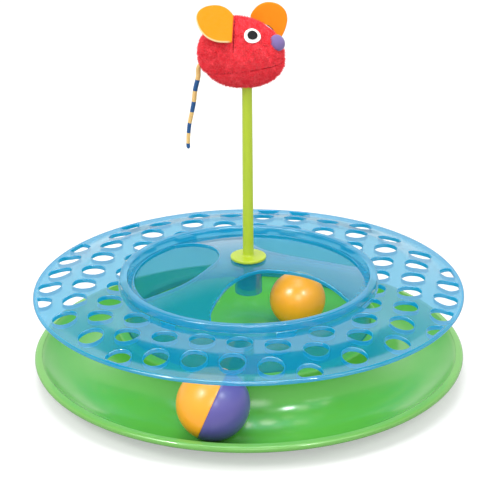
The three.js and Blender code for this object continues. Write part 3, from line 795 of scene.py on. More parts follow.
@dataclass
class Tray:
    """The green tray: lip, ball groove, hub and the platform with its shallow inner groove."""

    sizes: Sizes
    lip_top: float = 13.2
    lip_depth: float = 3.8
    rim_rise: float = 2.5
    rim_round: float = 1.6
    groove_play: float = 1.8  # between the upper ball and the edge of its groove
    foot_radius: float = 7.0
    foot_count: int = 4

    def section(self) -> np.ndarray:
        """The tray's closed section from the axis over the top and back below.

        Returns:
            Rows of radius and height.
        """
        s = self.sizes
        down, half = -RIGHT, self.lip_depth / 2
        across = s.lip_inner - s.track_radius
        sweep = bowed(across, self.lip_top - s.track_floor)
        under_sweep = sweep + s.tray_wall
        groove_half = s.upper_ball + self.groove_play
        groove_sweep = bowed(groove_half, s.chamber_depth)
        groove_reach = math.asin(groove_half / groove_sweep)
        groove_centre = s.platform - s.chamber_depth + groove_sweep
        underside = s.track_floor - s.tray_wall
        flat = self.foot_radius + 1
        ceiling = s.platform - s.chamber_depth - s.tray_wall
        hub_centre, hub_sweep = s.track_floor + s.inner_sweep, s.inner_sweep + s.tray_wall
        rim_top = s.platform + self.rim_rise
        recess = s.drum_outer + FIT
        shelf = np.array([
            [recess - 3, s.platform], [recess, s.platform], [recess, rim_top], [recess + 2, rim_top],
        ])
        return np.vstack((
            [[0, s.platform]],
            arc(s.chamber_radius, groove_centre, groove_sweep, down - groove_reach, down + groove_reach, 24),
            fillet(shelf, np.array([0, 0.4, 0.5, 0])),
            arc(s.hub_radius - self.rim_round, rim_top - self.rim_round, self.rim_round, RIGHT, 0, 8),
            arc(s.track_radius, hub_centre, s.inner_sweep, -math.pi, down, 32),
            arc(s.track_radius, s.track_floor + sweep, sweep, down, down + math.asin(across / sweep), 24)[1:],
            arc(s.lip_inner + 0.7, self.lip_top + 0.15, 0.5, math.pi, RIGHT, 5),
            arc(s.tray_radius - half, self.lip_top - half + 0.3, half, RIGHT, down, 20),
            arc(s.track_radius, underside + under_sweep, under_sweep,
                down + math.asin(across / under_sweep), down + math.asin(flat / under_sweep), 16),
            [[s.track_radius + flat, underside], [s.track_radius - flat, underside]],
            arc(s.track_radius, hub_centre, hub_sweep, down - math.asin(flat / hub_sweep),
                math.asin((hub_centre - ceiling) / hub_sweep) - math.pi, 24),
            [[0, ceiling]],
        ))

    def build(self) -> None:
        """Makes the tray and its four rubber feet."""
        s = self.sizes
        finish = Moulded("green_plastic", Colour.TRAY, Colour.TRAY_PALE, roughness=0.2, skin=0.002)
        section = self.section()
        # paint for the lip, out from its inner edge: a painted highlight towards the pale green
        pale = smoothstep(s.lip_inner - 2, s.lip_inner + 0.4, section[:, 0])
        shell = made("tray_shell", [Patch.turned(section, pale)], finish.material())
        settled(shell, "toy_base", "tray_green", "base_tray", "tray_hub")
        rubber = Moulded("foot_rubber", Colour.RUBBER, Colour.RUBBER, roughness=0.75, skin=0.05,
                         skin_scale=1500.0).material()
        r, top, dish = self.foot_radius, s.track_floor - s.tray_wall - GAP, 0.35
        corners = [[0, dish], [r * 0.55, dish], [r * 0.62, 0], [r - 0.2, 0], [r, top], [0, top]]
        profile = fillet(np.array(corners), np.array([0, 0.3, 0.3, 0.4, 0.2, 0]))
        pad = Patch.turned(profile, sides=SMALL_SIDES // 2)
        for k in range(self.foot_count):
            angle = TURN * (k + 0.5) / self.foot_count
            place = s.track_radius * np.array([math.cos(angle), math.sin(angle), 0])
            foot = made(f"rubber_foot_{k + 1}", [pad.moved(place)], rubber)
            settled(foot, "toy_base", "foot_rubber", f"foot_pad_{k + 1}")


@dataclass
class Cover:
    """The see-through cover: flange, slope and band with its paw holes, raised ring and drum."""

    sizes: Sizes
    hole_radius: float = 6.8
    hole_pitch: float = 20.6
    hole_sides: int = 44
    lattice_turn: float = math.radians(-10.7)
    lattice_origin: tuple[float, float] = (-65.5, -73.4)
    lattice_reach: int = 12  # steps each way from the origin
    ring_share: float = 0.6  # how far a hole's centre may pass the ring, in hole radii
    band_share: float = 0.26  # how far it may pass the band
    rim: float = 0.42  # rounding of a hole's edges
    collar: float = 0.5  # from a rounded edge to the next points of the sheet
    corner: float = 0.22  # softness of a clipped hole's corners
    ring_rise: float = 4.4
    ring_round: float = 1.2
    bead: float = 1.25
    gusset: float = 2.0
    bend: float = 0.05  # softness of the slope's start and end, as a share of its width

    def height(self, radius: np.ndarray | float) -> np.ndarray | float:
        """Top of the flange at a radius.

        With t the share of the slope passed, the drop's share is (sqrt(t^2+b^2) - sqrt((t-1)^2+b^2) + 1)/2,
        a ramp from 0 to 1 whose corners are rounded by b.

        Args:
            radius: Distances from the axis.

        Returns:
            The heights.
        """
        s = self.sizes
        t = (radius - s.skirt_start) / (s.brim_inner - s.skirt_start)
        ramp = (np.sqrt(t**2 + self.bend**2) - np.sqrt((t - 1) ** 2 + self.bend**2) + 1) / 2
        return s.cover_height - (s.cover_height - s.brim_top) * ramp

    def centres(self) -> np.ndarray:
        """Centres of the holes: a turned square lattice, kept between the ring and the band."""
        reach = np.arange(-self.lattice_reach, self.lattice_reach + 1) * self.hole_pitch
        x, y = (axis.reshape(-1) for axis in np.meshgrid(reach, reach))
        cos, sin = math.cos(self.lattice_turn), math.sin(self.lattice_turn)
        spots = np.column_stack((x * cos - y * sin, x * sin + y * cos)) + self.lattice_origin
        distance = np.linalg.norm(spots, axis=1)
        near = self.sizes.ring_radius - self.ring_share * self.hole_radius
        far = self.sizes.band_inner + self.band_share * self.hole_radius
        return spots[(distance > near) & (distance < far)]

    def outlines(self, centres: np.ndarray, offset: float) -> np.ndarray:
        """Edges of all holes, pushed out by an offset.

        From a point inside the hole, rays run to the hole's circle, to the band's circle and to the ring's.
        The edge lies at the smooth least of these lengths, -k log(sum(exp(-length/k))).

        Args:
            centres: The holes' centres.
            offset: How far the edge is pushed out.

        Returns:
            Array of holes, sides and two coordinates.
        """
        s = self.sizes
        ring_edge, missed = s.ring_radius + 2 * self.rim, 1e3
        distance = np.linalg.norm(centres, axis=1, keepdims=True)
        low = np.maximum(distance - self.hole_radius, ring_edge)
        high = np.minimum(distance + self.hole_radius, s.band_inner)
        start = centres / distance * (low + high) / 2
        ray = circle(1.0, self.hole_sides)[None]

        def run(centre: np.ndarray, radius: float, side: int) -> np.ndarray:
            """Length of each ray to a circle, -a + side sqrt(a^2 - gap^2 + radius^2), with a = gap . ray.

            Args:
                centre: The circle's centre.
                radius: Its radius.
                side: 1 for the far meeting, -1 for the near one.

            Returns:
                A length for each hole and ray, very long where the ray misses.
            """
            gap = (start - centre)[:, None]
            ahead = (gap * ray).sum(2)
            inside = ahead**2 - (gap**2).sum(2) + radius**2
            hit = -ahead + side * np.sqrt(np.maximum(inside, 0))
            return np.where((inside < 0) | (hit < 0), missed, hit)

        nil = np.zeros_like(centres)
        lengths = np.stack((
            run(centres, self.hole_radius + offset, 1),
            run(nil, s.band_inner + offset, 1),
            run(nil, ring_edge - offset, -1),
        ))
        reach = -self.corner * np.log(np.exp(-lengths / self.corner).sum(0))
        return start[:, None] + reach[:, :, None] * ray

    def free_points(self, centres: np.ndarray, inner: float, outer: float) -> np.ndarray:
        """Points for the sheet between the holes: rings, close together at the bends, cleared round holes.

        Args:
            centres: The holes' centres.
            inner: The sheet's inner radius.
            outer: Its outer radius.

        Returns:
            Rows of two coordinates.
        """
        step, margin, clearance, last = 4.0, 2.5, 1.6, 3.6
        first, second = self.sizes.skirt_start, self.sizes.brim_inner
        close = np.array([-1.6, -0.7, 0.0, 0.7, 1.6])  # steps from a bend
        radii = np.concatenate((
            np.arange(inner + step, first - margin, step), first + close,
            np.arange(first + step, second - margin, step), second + close, [second + last],
        ))
        spots = np.vstack([circle(r, ROUND_SIDES // 2) for r in radii])
        away = np.linalg.norm(spots[:, None] - centres[None], axis=2).min(1)
        collars = self.outlines(centres, self.rim + self.collar).reshape(-1, 2)
        distance = np.linalg.norm(collars, axis=1)
        collars = collars[(distance > inner + 0.2) & (distance < outer - 0.4)]
        return np.vstack((spots[away > self.hole_radius + self.rim + clearance], collars))

    def holes(self, centres: np.ndarray) -> Patch:
        """Walls of the holes.

        A quarter circle of the rim's size leads from the flange into the wall and out again below, and the
        height follows the flange's own height at each point.

        Args:
            centres: The holes' centres.

        Returns:
            The patch.
        """
        push, sink = eased(self.rim)
        push = np.concatenate((push, push[::-1]))
        sink = np.concatenate((sink, self.sizes.cover_wall - sink[::-1]))
        flat = np.stack([self.outlines(centres, p) for p in push])
        high = self.height(np.linalg.norm(flat, axis=3)) - sink[:, None, None]
        points = np.concatenate((flat, high[..., None]), axis=3)
        on_face, on_wall = 0.3, 1.0
        tone = np.where(push > self.rim * 0.9, on_face, on_wall)[:, None]
        walls = [Patch.grid(points[:, k], tone) for k in range(len(centres))]
        starts = np.arange(len(walls)) * len(walls[0].points)
        faces = np.vstack([wall.faces + start for wall, start in zip(walls, starts)])
        return Patch(np.vstack([w.points for w in walls]), faces, np.concatenate([w.paint for w in walls]))

    def build(self, finish: bpy.types.Material) -> None:
        """Makes the cover in one closed skin.

        Args:
            finish: Its material.
        """
        s = self.sizes
        wall, edge = s.cover_wall, 0.25
        inner, outer = s.ring_radius + edge, s.cover_radius - self.bead
        inner_top, outer_top = self.height(inner), self.height(outer)
        seam = s.band_inner + self.rim + self.collar
        centres = self.centres()
        loops = [circle(seam), circle(inner), *self.outlines(centres, self.rim)]
        sheet = Patch.flat(loops, self.free_points(centres, inner, seam))
        ring_top, foot = s.cover_height + self.ring_rise, s.platform + GAP
        corners = np.array([
            [inner, inner_top], [s.ring_radius, inner_top], [s.ring_radius, ring_top],
            [s.ring_inner, ring_top], [s.ring_inner, s.ledge_height], [s.drum_inner, s.ledge_height],
            [s.drum_inner, foot], [s.drum_outer, foot], [s.drum_outer, inner_top - wall - self.gusset],
            [s.drum_outer + self.gusset, inner_top - wall], [inner, inner_top - wall],
        ])
        radii = [0, edge, self.ring_round, self.ring_round, 0.3, 0.3, 0.4, 0.4, 0.6, 0.6, 0]
        strip = fillet(corners, np.array(radii))
        ring = Patch.turned(strip, np.where(strip[:, 1] > s.cover_height + 0.3, 0.45, 0.12))
        bead = arc(outer, outer_top - self.bead, self.bead, RIGHT, -RIGHT, 14)
        bead[[0, -1], 1] = outer_top, outer_top - wall
        across = np.linspace(seam, outer, 3)[:-1]
        upper = np.column_stack((across, self.height(across)))
        band = np.vstack((upper, bead, (upper - [0, wall])[::-1]))
        edging = Patch.turned(band, np.where(band[:, 0] >= outer, 0.6, 0.1))
        patches = [sheet.lifted(self.height), sheet.lifted(lambda radius: self.height(radius) - wall),
                   self.holes(centres), ring, edging]
        settled(made("cover_shell", patches, finish), "toy_base", "cover_blue", "perforated_cover")


@dataclass
class Dome:
    """The domed centre plate with three openings and the mast's socket under it."""

    sizes: Sizes
    rise: float = 13.0
    rim: float = 0.4
    bore: float = 3.35
    socket: float = 5.05
    skirt_wall: float = 1.5
    skirt_depth: float = 7.6
    socket_depth: float = 5.6
    border: float = 3.6  # from the openings to the dome's edge
    openings: int = 3
    edge_shares: tuple = (
        (1, -108), (0.86, -111), (0.63, -111), (0.45, -107), (0.3, -90), (0.275, -58),
        (0.37, -38.5), (0.51, -28.5), (0.66, -26), (0.82, -28), (1, -32),
    )  # distance from the axis as a share of the openings' reach, and the angle in degrees

    def __post_init__(self) -> None:
        """Works out the cap's sphere from its radius and its rise."""
        self.radius = self.sizes.ring_inner - GAP
        self.sweep = bowed(self.radius, self.rise)
        self.top = self.sizes.cover_height + self.rise
        self.reach = self.radius - self.border

    def height(self, radius: np.ndarray | float, wall: float = 0.0) -> np.ndarray | float:
        """Height of the cap at a radius: its sphere's centre plus sqrt((sweep - wall)^2 - radius^2)."""
        return self.top - self.sweep + np.sqrt((self.sweep - wall) ** 2 - radius**2)

    def under(self, radius: np.ndarray | float) -> np.ndarray | float:
        """Height of the cap's underside at a radius."""
        return self.height(radius, self.sizes.dome_wall)

    def edges(self) -> list[np.ndarray]:
        """The openings' edges.

        One is a spline through the shares, closed by an arc at the openings' reach. The others are the same,
        turned round the axis.
        """
        share, degrees = np.array(self.edge_shares, float).T
        angle = np.radians(degrees)
        points = self.reach * share[:, None] * np.column_stack((np.cos(angle), np.sin(angle)))
        rim = arc(0, 0, self.reach, angle[-1], angle[0], 40)
        loop = softened(resampled(np.vstack((spline(points, 12), rim[1:-1])), 220), 0.9)
        turns = circle(1.0, self.openings)
        return [loop @ np.array([[cos, sin], [-sin, cos]]) for cos, sin in turns]

    def wall(self, loop: np.ndarray) -> Patch:
        """Wall of an opening: quarter circles ease it into the cap above and below.

        Args:
            loop: The opening's edge.

        Returns:
            The patch, painted most on its upper half.
        """
        push, sink = eased(self.rim)
        flat = np.stack([pushed_out(loop, p) for p in (*push, *push[::-1])])
        radius, half = np.linalg.norm(flat, axis=2), len(push)
        high = np.vstack((self.height(radius[:half]) - sink[:, None],
                          self.under(radius[half:]) + sink[::-1, None]))
        tone = np.repeat([[1.0], [0.25]], half, axis=0)
        return Patch.grid(np.concatenate((flat, high[..., None]), axis=2), tone)

    def build(self, finish: bpy.types.Material) -> None:
        """Makes the dome in one closed skin.

        Args:
            finish: Its material.
        """
        s = self.sizes
        loops = self.edges()
        edges = [pushed_out(loop, self.rim) for loop in loops]
        collars = np.vstack([pushed_out(loop, self.rim + 0.6) for loop in loops])
        spacing, clearance = 4, 1.4
        radii = np.arange(12, self.radius - 3, spacing)
        rings = np.vstack([circle(r, int(TURN * r / spacing) + 8) for r in radii])
        clear = np.linalg.norm(rings[:, None] - np.vstack(edges)[None], axis=2).min(1) > clearance
        inner = np.vstack((rings[clear], collars[np.linalg.norm(collars, axis=1) < self.radius - 1]))
        outer_top, outer_under = self.radius - 0.4, self.radius - GAP
        mouth, foot, skirt = self.bore + 0.4, s.boss_radius + 0.5, s.boss_radius - self.skirt_wall
        bottom, socket_bottom = s.cover_height - self.skirt_depth, s.cover_height - self.socket_depth
        boss = np.array([
            [mouth, self.height(mouth)], [self.bore, self.height(self.bore)],
            [self.bore, socket_bottom], [self.socket, socket_bottom],
            [self.socket, self.under(self.socket)], [skirt, self.under(skirt)],
            [skirt, bottom], [s.boss_radius, bottom], [s.boss_radius, self.under(s.boss_radius)],
            [foot, self.under(foot)],
        ])
        rim = np.array([
            [outer_top, self.height(outer_top)], [self.radius, self.height(self.radius)],
            [self.radius, s.ledge_height + GAP], [outer_under, self.under(outer_under)],
        ])
        patches = [
            Patch.flat([circle(outer_top), circle(mouth), *edges], inner).lifted(self.height),
            Patch.flat([circle(outer_under), circle(foot), *edges], inner).lifted(self.under),
            *(self.wall(loop) for loop in loops),
            Patch.turned(fillet(boss, np.full(len(boss), 0.3))),
            Patch.turned(fillet(rim, np.full(len(rim), 0.3)), 0.5),
        ]
        settled(made("dome_shell", patches, finish), "toy_base", "dome_blue", "centre_dome")


@dataclass
class Mast:
    """The lime rod with its disc and the spigot that drops into the dome."""

    end: float
    top: float
    root: float = 3.15
    tip: float = 2.75
    disc: float = 10.25
    thickness: float = 1.6
    spigot: float = 3.05
    spigot_length: float = 17.5

    def build(self) -> None:
        """Makes the mast."""
        seat = self.end + self.spigot_length
        over = seat + self.thickness
        corners = np.array([
            [0, self.end], [self.spigot - 0.8, self.end], [self.spigot, self.end + 0.8], [self.spigot, seat],
            [self.disc, seat], [self.disc, over], [self.root, over], [self.root, over + 4],
            [self.tip, self.top - 1.4], [self.tip / 2, self.top], [0, self.top],
        ])
        section = fillet(corners, np.array([0, 0.2, 0.2, 0.2, 0.6, 0.7, 1.5, 0, 0.6, 0.5, 0]), 8)
        sandy = (section[:, 1] > over - 0.7) & (section[:, 1] < over + 0.4)
        turning = Patch.turned(section, sandy.astype(float), SMALL_SIDES)
        piece = made("mast_turning", [turning], Speckled("lime_plastic").material())
        settled(piece, "mast", "mast_lime", "mast_rod")


@dataclass
class Ball:
    """A two-tone ball: two hollow half shells that meet in a stepped seam, round a loose bead."""

    name: str
    bead_body: str
    radius: float
    track: float
    floor: float
    angle: float
    tilt: float = math.radians(22)
    wall: float = 1.8
    seam_gap: float = 0.3
    seam_lip: float = 1.4
    bead_share: float = 0.22

    def half(self, tongue: bool) -> np.ndarray:
        """Section of one half shell, with its dome up.

        Args:
            tongue: True for the half whose inner step reaches past the seam.

        Returns:
            Rows of radius and height.
        """
        inner, middle, face = self.radius - self.wall, self.radius - self.wall / 2, self.seam_gap / 2
        side = -face if tongue else face
        reach = -self.seam_lip if tongue else self.seam_lip + self.seam_gap
        outer = arc(0, 0, self.radius, RIGHT, math.asin(face / self.radius), 36)
        rim, low = outer[-1, 0], 0.6 * face
        start = 0.0 if tongue else math.asin(reach / inner) + 0.01
        section = np.vstack((
            outer[:-1], outer[-1:] * 0.999, [[rim - 0.05, low], [rim - 0.16, low]],
            [[middle + side, face], [middle + side, reach], [inner, reach]],
            arc(0, 0, inner, start, RIGHT, 24),
        ))
        section[[0, -1], 0] = 0
        return section

    def build(self, first: bpy.types.Material, second: bpy.types.Material, white: bpy.types.Material) -> None:
        """Makes both halves and the bead.

        Args:
            first: Finish of the half whose pole leads along the groove.
            second: Finish of the other half.
            white: Finish of the bead.
        """
        cos, sin = math.cos(self.angle), math.sin(self.angle)
        centre = np.array([self.track * cos, self.track * sin, self.floor + GAP + self.radius])
        pole = np.array([-sin, cos, 0]) * math.cos(self.tilt) - UP * math.sin(self.tilt)
        side = unit(np.cross(pole, UP))
        frame = np.column_stack((side, np.cross(pole, side), pole))
        halves = (("a", frame, first, "ball_purple"), ("b", frame * [1, -1, -1], second, "ball_orange"))
        for letter, turn, finish, slot in halves:
            shell = Patch.turned(self.half(letter == "a"), sides=SMALL_SIDES).moved(centre, turn)
            piece = made(f"{self.name}_half_{letter}", [shell], finish)
            settled(piece, self.name, slot, f"{self.name}_shell_{letter}")
        size = self.bead_share * self.radius
        section = arc(0, 0, size, -RIGHT, RIGHT, 20)
        section[[0, -1], 0] = 0
        low = centre - UP * (self.radius - self.wall - self.seam_gap - size)
        bead = Patch.turned(section, sides=SMALL_SIDES // 2).moved(low)
        piece = made(f"{self.name}_rattle", [bead], white)
        settled(piece, self.bead_body, "bead_white", f"{self.name}_bead")


@dataclass
class Mouse:
    """The stuffed mouse: plush body with its pile, felt ears, layered eyes, padded nose and cord tail."""

    heading: float = math.radians(-28)
    half_length: float = 25.7
    half_width: float = 18.2
    crown: float = 19.7
    belly: float = 19.4
    axis: float = 190.6
    setback: float = 3.3
    taper: float = 0.06
    droop: float = 2.5
    pile: float = 0.75  # how far the cloth lies below the tips of its pile
    stitch: float = 1.1  # how deep a seam draws the cloth in
    belly_seam: tuple = (183.1, 0.2)  # its height at x = 0, and its rise with x
    back_seam: tuple = (-7.2, 0.46)  # its x at y = 0, and its step forward with |y|
    pucker_height: float = 5.0
    pucker_width: float = 3.2
    tuft_count: int = 34000
    mast_play: float = 4.2  # radius round the mast that has no pile
    nose_play: float = 4.2  # radius round the nose's middle that has none
    eye: tuple[float, float] = (0.46, math.radians(53))  # share of the length, angle round the body
    far_eye_drop: float = math.radians(7)  # how much lower the left eye is sewn on
    eye_radius: float = 4.6
    pupil_radius: float = 2.7
    felt: float = 0.6
    sink: float = 0.45  # how deep the eyes are sewn down into the pile
    nose: tuple[float, float] = (0.86, RIGHT)
    nose_facing: tuple = (0.74, -0.4, 0.54)
    nose_size: tuple = (4.5, 4.6, 3.0)  # half its width, height and depth
    ear: tuple[float, float] = (0.02, math.radians(57))
    ear_length: float = 26.7
    ear_width: float = 20.3
    ear_felt: float = 1.4
    ear_cup: float = 0.004  # bend for each squared millimetre along the sewn edge
    near_ear_lift: float = 1.2  # of its root over the skin
    far_ear_drop: float = 5.1  # of its root into the seam
    near_ear_axes: tuple = ((0.355, -0.765, -0.538), (-0.889, -0.454, 0.06))  # along the seam, away from it
    far_ear_axes: tuple = ((0, 0, -1), (0.883, 0.469, 0))
    ear_shares: tuple = (
        (0.44, 0), (0.45, 0.2), (0.438, 0.424), (0.345, 0.67), (0.187, 0.847), (-0.01, 0.96), (-0.2, 1),
        (-0.37, 0.94), (-0.49, 0.79), (-0.545, 0.6), (-0.545, 0.4), (-0.48, 0.21), (-0.38, 0.08), (-0.28, 0),
    )  # along the sewn edge and away from it, as shares of the ear's length and width
    tail_radius: float = 1.4
    tail_thinning: float = 0.2  # of its tip against its root
    tail_route: tuple = (
        (-27.6, -1.3, 181.2), (-28.9, -1.5, 180.2), (-29.7, -1.7, 178.6), (-29.9, -1.7, 176.6),
        (-29.9, -1.7, 174.6), (-30.3, -1.9, 171.8), (-31, -2.3, 168.7), (-31.7, -2.7, 165),
        (-32.4, -3, 158.8), (-33.5, -3.6, 152.4), (-34.6, -4.3, 146.5), (-35.3, -4.6, 140.2),
        (-35.6, -4.8, 133.7), (-35.4, -4.7, 131.1),
    )
    band_ends: tuple = (10.3, 16.9, 23.2, 29.5, 36.0, 42.0, 48.3)  # where the tail's colours change, along it

    def skin(self, u: np.ndarray | float, angle: np.ndarray | float,
             offset: np.ndarray | float = 0.0) -> np.ndarray:
        """Points of the skin in the mouse's own frame.

        With ring = sqrt(1 - u^2) (1 - taper u): x is (half length + offset) u - setback, y is
        (half width + offset) ring cos(angle), and z is axis - droop u^4 + (crown or belly + offset)
        ring sin(angle).

        Args:
            u: Share of the half length, from the rump at -1 to the snout at 1.
            angle: Angle round the body, up from its left side.
            offset: Distance outwards.

        Returns:
            Array with three coordinates last.
        """
        ring = np.sqrt(np.maximum(0, 1 - u**2)) * (1 - self.taper * u)
        high = np.where(np.sin(angle) > 0, self.crown, self.belly)
        x = (self.half_length + offset) * u - self.setback
        y = (self.half_width + offset) * ring * np.cos(angle)
        z = self.axis - self.droop * u**4 + (high + offset) * ring * np.sin(angle)
        return np.stack(np.broadcast_arrays(x, y, z), axis=-1)

    def slopes(self, u: np.ndarray | float, angle: np.ndarray | float) -> tuple[np.ndarray, np.ndarray]:
        """How the skin's points move with each of its two parameters, by small differences.

        Args:
            u: Share of the half length.
            angle: Angle round the body.

        Returns:
            The slopes along the body and round it.
        """
        step = 1e-3
        inside = np.clip(u, -1 + 2 * step, 1 - 2 * step)
        lengthwise = self.skin(inside + step, angle) - self.skin(inside - step, angle)
        round_it = self.skin(inside, angle + step) - self.skin(inside, angle - step)
        return lengthwise / (2 * step), round_it / (2 * step)

    def normal(self, u: np.ndarray | float, angle: np.ndarray | float) -> np.ndarray:
        """Outward direction of the skin: the cross product of its two slopes."""
        lengthwise, round_it = self.slopes(u, angle)
        return unit(np.cross(round_it, lengthwise))

    def world(self, points: np.ndarray) -> np.ndarray:
        """Points or directions of the mouse's own frame, turned by its heading."""
        cos, sin = math.cos(self.heading), math.sin(self.heading)
        return points @ np.array([[cos, -sin, 0], [sin, cos, 0], [0, 0, 1]]).T

    def seams(self, points: np.ndarray) -> np.ndarray:
        """How close points are to a seam: 1 on it, falling as a Gaussian.

        One seam runs round the belly at the height a + b x. The other crosses the back where the ears are
        sewn in, at x = c + d |y|, and fades out towards the belly.

        Args:
            points: Places in the mouse's own frame.

        Returns:
            A share for each point.
        """
        x, y, z = np.moveaxis(points, -1, 0)
        (a, b), (c, d) = self.belly_seam, self.back_seam
        side = np.exp(-(((z - a - b * x) / 0.45) ** 2))
        back = np.exp(-(((x - c - d * np.abs(y)) / 0.5) ** 2)) * smoothstep(192, 197, z)
        return np.maximum(side, back)

    def lumps(self, points: np.ndarray) -> np.ndarray:
        """Unevenness of the filling under the cloth: two layers of noise."""
        return 0.35 * noise(points, 7.0, 5) + 0.16 * noise(points, 2.2, 6)

    def pucker(self, points: np.ndarray) -> np.ndarray:
        """How far the belly is drawn up round the mast: height exp(-(distance / width)^2) below the axis."""
        share = np.exp(-((np.linalg.norm(points[..., :2], axis=-1) / self.pucker_width) ** 2))
        return np.where(points[..., 2] < self.axis, self.pucker_height * share, 0.0)

    def eyes(self) -> tuple[tuple[str, float], ...]:
        """Each eye's side and its angle round the body."""
        return ("left", self.eye[1] - self.far_eye_drop), ("right", math.pi - self.eye[1])

    def bare(self, points: np.ndarray) -> np.ndarray:
        """Where nothing is sewn on: not under an eye or the nose.

        Args:
            points: Rows of places in the mouse's own frame.

        Returns:
            True for each point that may carry pile.
        """
        places = [(self.eye[0], angle) for _, angle in self.eyes()] + [self.nose]
        tucked = 0.4  # how far the left eye lies under the pile
        radii = (self.eye_radius - tucked, self.eye_radius, self.nose_play)
        away = [np.linalg.norm(points - self.skin(*place), axis=1) for place in places]
        return (np.array(away) > np.array(radii)[:, None]).all(0)

    def tail(self) -> None:
        """Makes the wrapped tail along its route.

        A circle is carried along the route. Its radius swells by a twentieth at each turn of the winding,
        as 0.95 + 0.05 cos(2 pi length / pitch + angle), thins towards the tip and closes at both ends.
        """
        route = spline(np.array(self.tail_route, float), 40, 0.5)
        length = travelled(route)[-1]
        steps, sides, pitch = 520, 20, 0.62
        at = np.linspace(0, length, steps)
        line = along(route, at)
        ahead = unit(np.gradient(line, axis=0))
        side = unit(np.cross(ahead, [0.0, 1.0, 0.0]))
        to_end = np.minimum(at, length - at)
        close = np.sqrt(np.clip(1 - (1 - np.minimum(to_end / self.tail_radius, 1)) ** 2, 0, 1))
        wind = 0.95 + 0.05 * np.cos(TURN * at[:, None] / pitch + TURN * np.arange(sides) / sides)
        thin = 1 - self.tail_thinning * smoothstep(0.2, 1, at / length)
        size = self.tail_radius * (close * thin)[:, None] * wind
        points = line[:, None] + size[..., None] * spokes(side, np.cross(side, ahead), sides)
        bands = np.searchsorted(self.band_ends, at) % 2
        thread = Patch.grid(self.world(points), bands[:, None])
        cord = made("tail_thread", [thread], BandedThread("banded_thread").material())
        settled(cord, "mouse", "cord_tan", "tail_cord")
        path = self.world(line[::8]) * MM
        tuple(path[0])

    def body(self) -> None:
        """Makes the plush body and the pile that stands on it.

        The cloth lies a pile's height under the outline. Broad noise makes it lumpy, seams draw it in, and
        it is pulled up round the mast. It is painted lighter where it bulges, a painted highlight, and dark
        in the seams, painted shade.
        """
        rows, columns = 230, 300
        u = -np.cos(math.pi * np.arange(rows) / (rows - 1))[:, None]
        angle = (TURN * np.arange(columns) / columns)[None]
        base = self.skin(u, angle, -self.pile)
        base[[0, -1]] = base[[0, -1]].mean(axis=1, keepdims=True)
        flat = base.reshape(-1, 3)
        lumps = self.lumps(flat) + 0.1 * noise(flat, 0.9, 7)
        stitched = self.seams(flat)
        normal = np.array(np.broadcast_to(self.normal(u, angle), base.shape))
        normal[[0, -1]] = [[[-1.0, 0, 0]], [[1.0, 0, 0]]]
        flat = flat + (lumps - self.stitch * stitched)[:, None] * normal.reshape(-1, 3)
        flat[:, 2] += self.pucker(flat)
        # painted highlight where the cloth bulges out, painted shade in the seams
        tone = np.clip(0.25 + 0.5 * lumps, 0.12, 1) * (1 - smoothstep(0.2, 0.7, stitched))
        skin = Patch.grid(self.world(flat).reshape(base.shape), tone.reshape(rows, columns))
        # the seams darken towards a painted shade colour
        finish = Cloth("plush", Colour.PLUSH, Colour.PLUSH_TIP, 1300.0, 0.25, 0.35, sheen=0.2,
                       root=Colour.PLUSH_SEAM_SHADE).material()
        cloth = made("plush_body", [skin], finish)
        settled(cloth, "mouse", "plush_red", "mouse_body")
        settled(made("plush_pile", [self.tufts()], finish, weld=False), "mouse", "plush_red")

    def tufts(self) -> Patch:
        """The pile: slivers with a three-sided foot and one tip, placed evenly by the golden angle.

        They lean back and down, clump together, and each has its own length.

        Returns:
            The patch, painted with one tone at the foot and a random, lighter one at the tip: painted shade
            down in the pile and a painted highlight on the tips.
        """
        rng = np.random.default_rng(11)
        count = self.tuft_count
        u = 1 - 2 * (np.arange(count) + 0.5) / count
        angle = (np.arange(count) * math.pi * (3 - math.sqrt(5))) % TURN
        u = np.clip(u + rng.normal(0, 0.006, count), -0.999, 0.999)
        angle = angle + rng.normal(0, 0.02, count)
        foot = self.skin(u, angle, -self.pile - 0.1)
        off_mast = (np.linalg.norm(foot[:, :2], axis=1) > self.mast_play) | (foot[:, 2] > self.axis)
        keep = (self.seams(foot) < 0.5) & self.bare(foot) & off_mast
        foot, normal = foot[keep], self.normal(u, angle)[keep]
        count = len(foot)
        near = self.seams(foot)
        foot = foot + (self.lumps(foot) - self.stitch * near)[:, None] * normal
        lean = np.array([-0.35, 0, -0.45]) + rng.normal(0, 0.38, (count, 3))
        lean += 0.9 * np.column_stack([noise(foot, 1.8, seed) for seed in (21, 22, 23)])
        way = unit(normal + 0.75 * lean)
        length = (0.8 + 1.1 * rng.power(0.6, count)) * (1 - 0.6 * near)
        side = unit(np.cross(normal, rng.normal(0, 1, (count, 3))))
        width = rng.uniform(0.2, 0.3, count)[:, None, None]
        base = foot[:, None] + width * spokes(side, np.cross(normal, side), 3)
        tip = foot + way * length[:, None]
        points = np.concatenate((base, tip[:, None]), axis=1).reshape(-1, 3)
        corner = np.array([[0, 2, 1], [0, 1, 3], [1, 2, 3], [2, 0, 3]])
        faces = (4 * np.arange(count)[:, None, None] + corner).reshape(-1, 3)
        clump = np.clip(0.5 + 0.6 * noise(foot, 1.3, 31) + 0.3 * noise(foot, 5.0, 32), 0, 1)
        # low feet and lighter, random tips: painted shade in the pile, painted highlight on its tips, clumps
        # varying at random
        low = 0.12
        light = np.maximum(clump * rng.uniform(0.5, 1.1, count), low)
        tone = np.column_stack((np.full((count, 3), low), light))
        return Patch(self.world(points), faces, tone.reshape(-1))

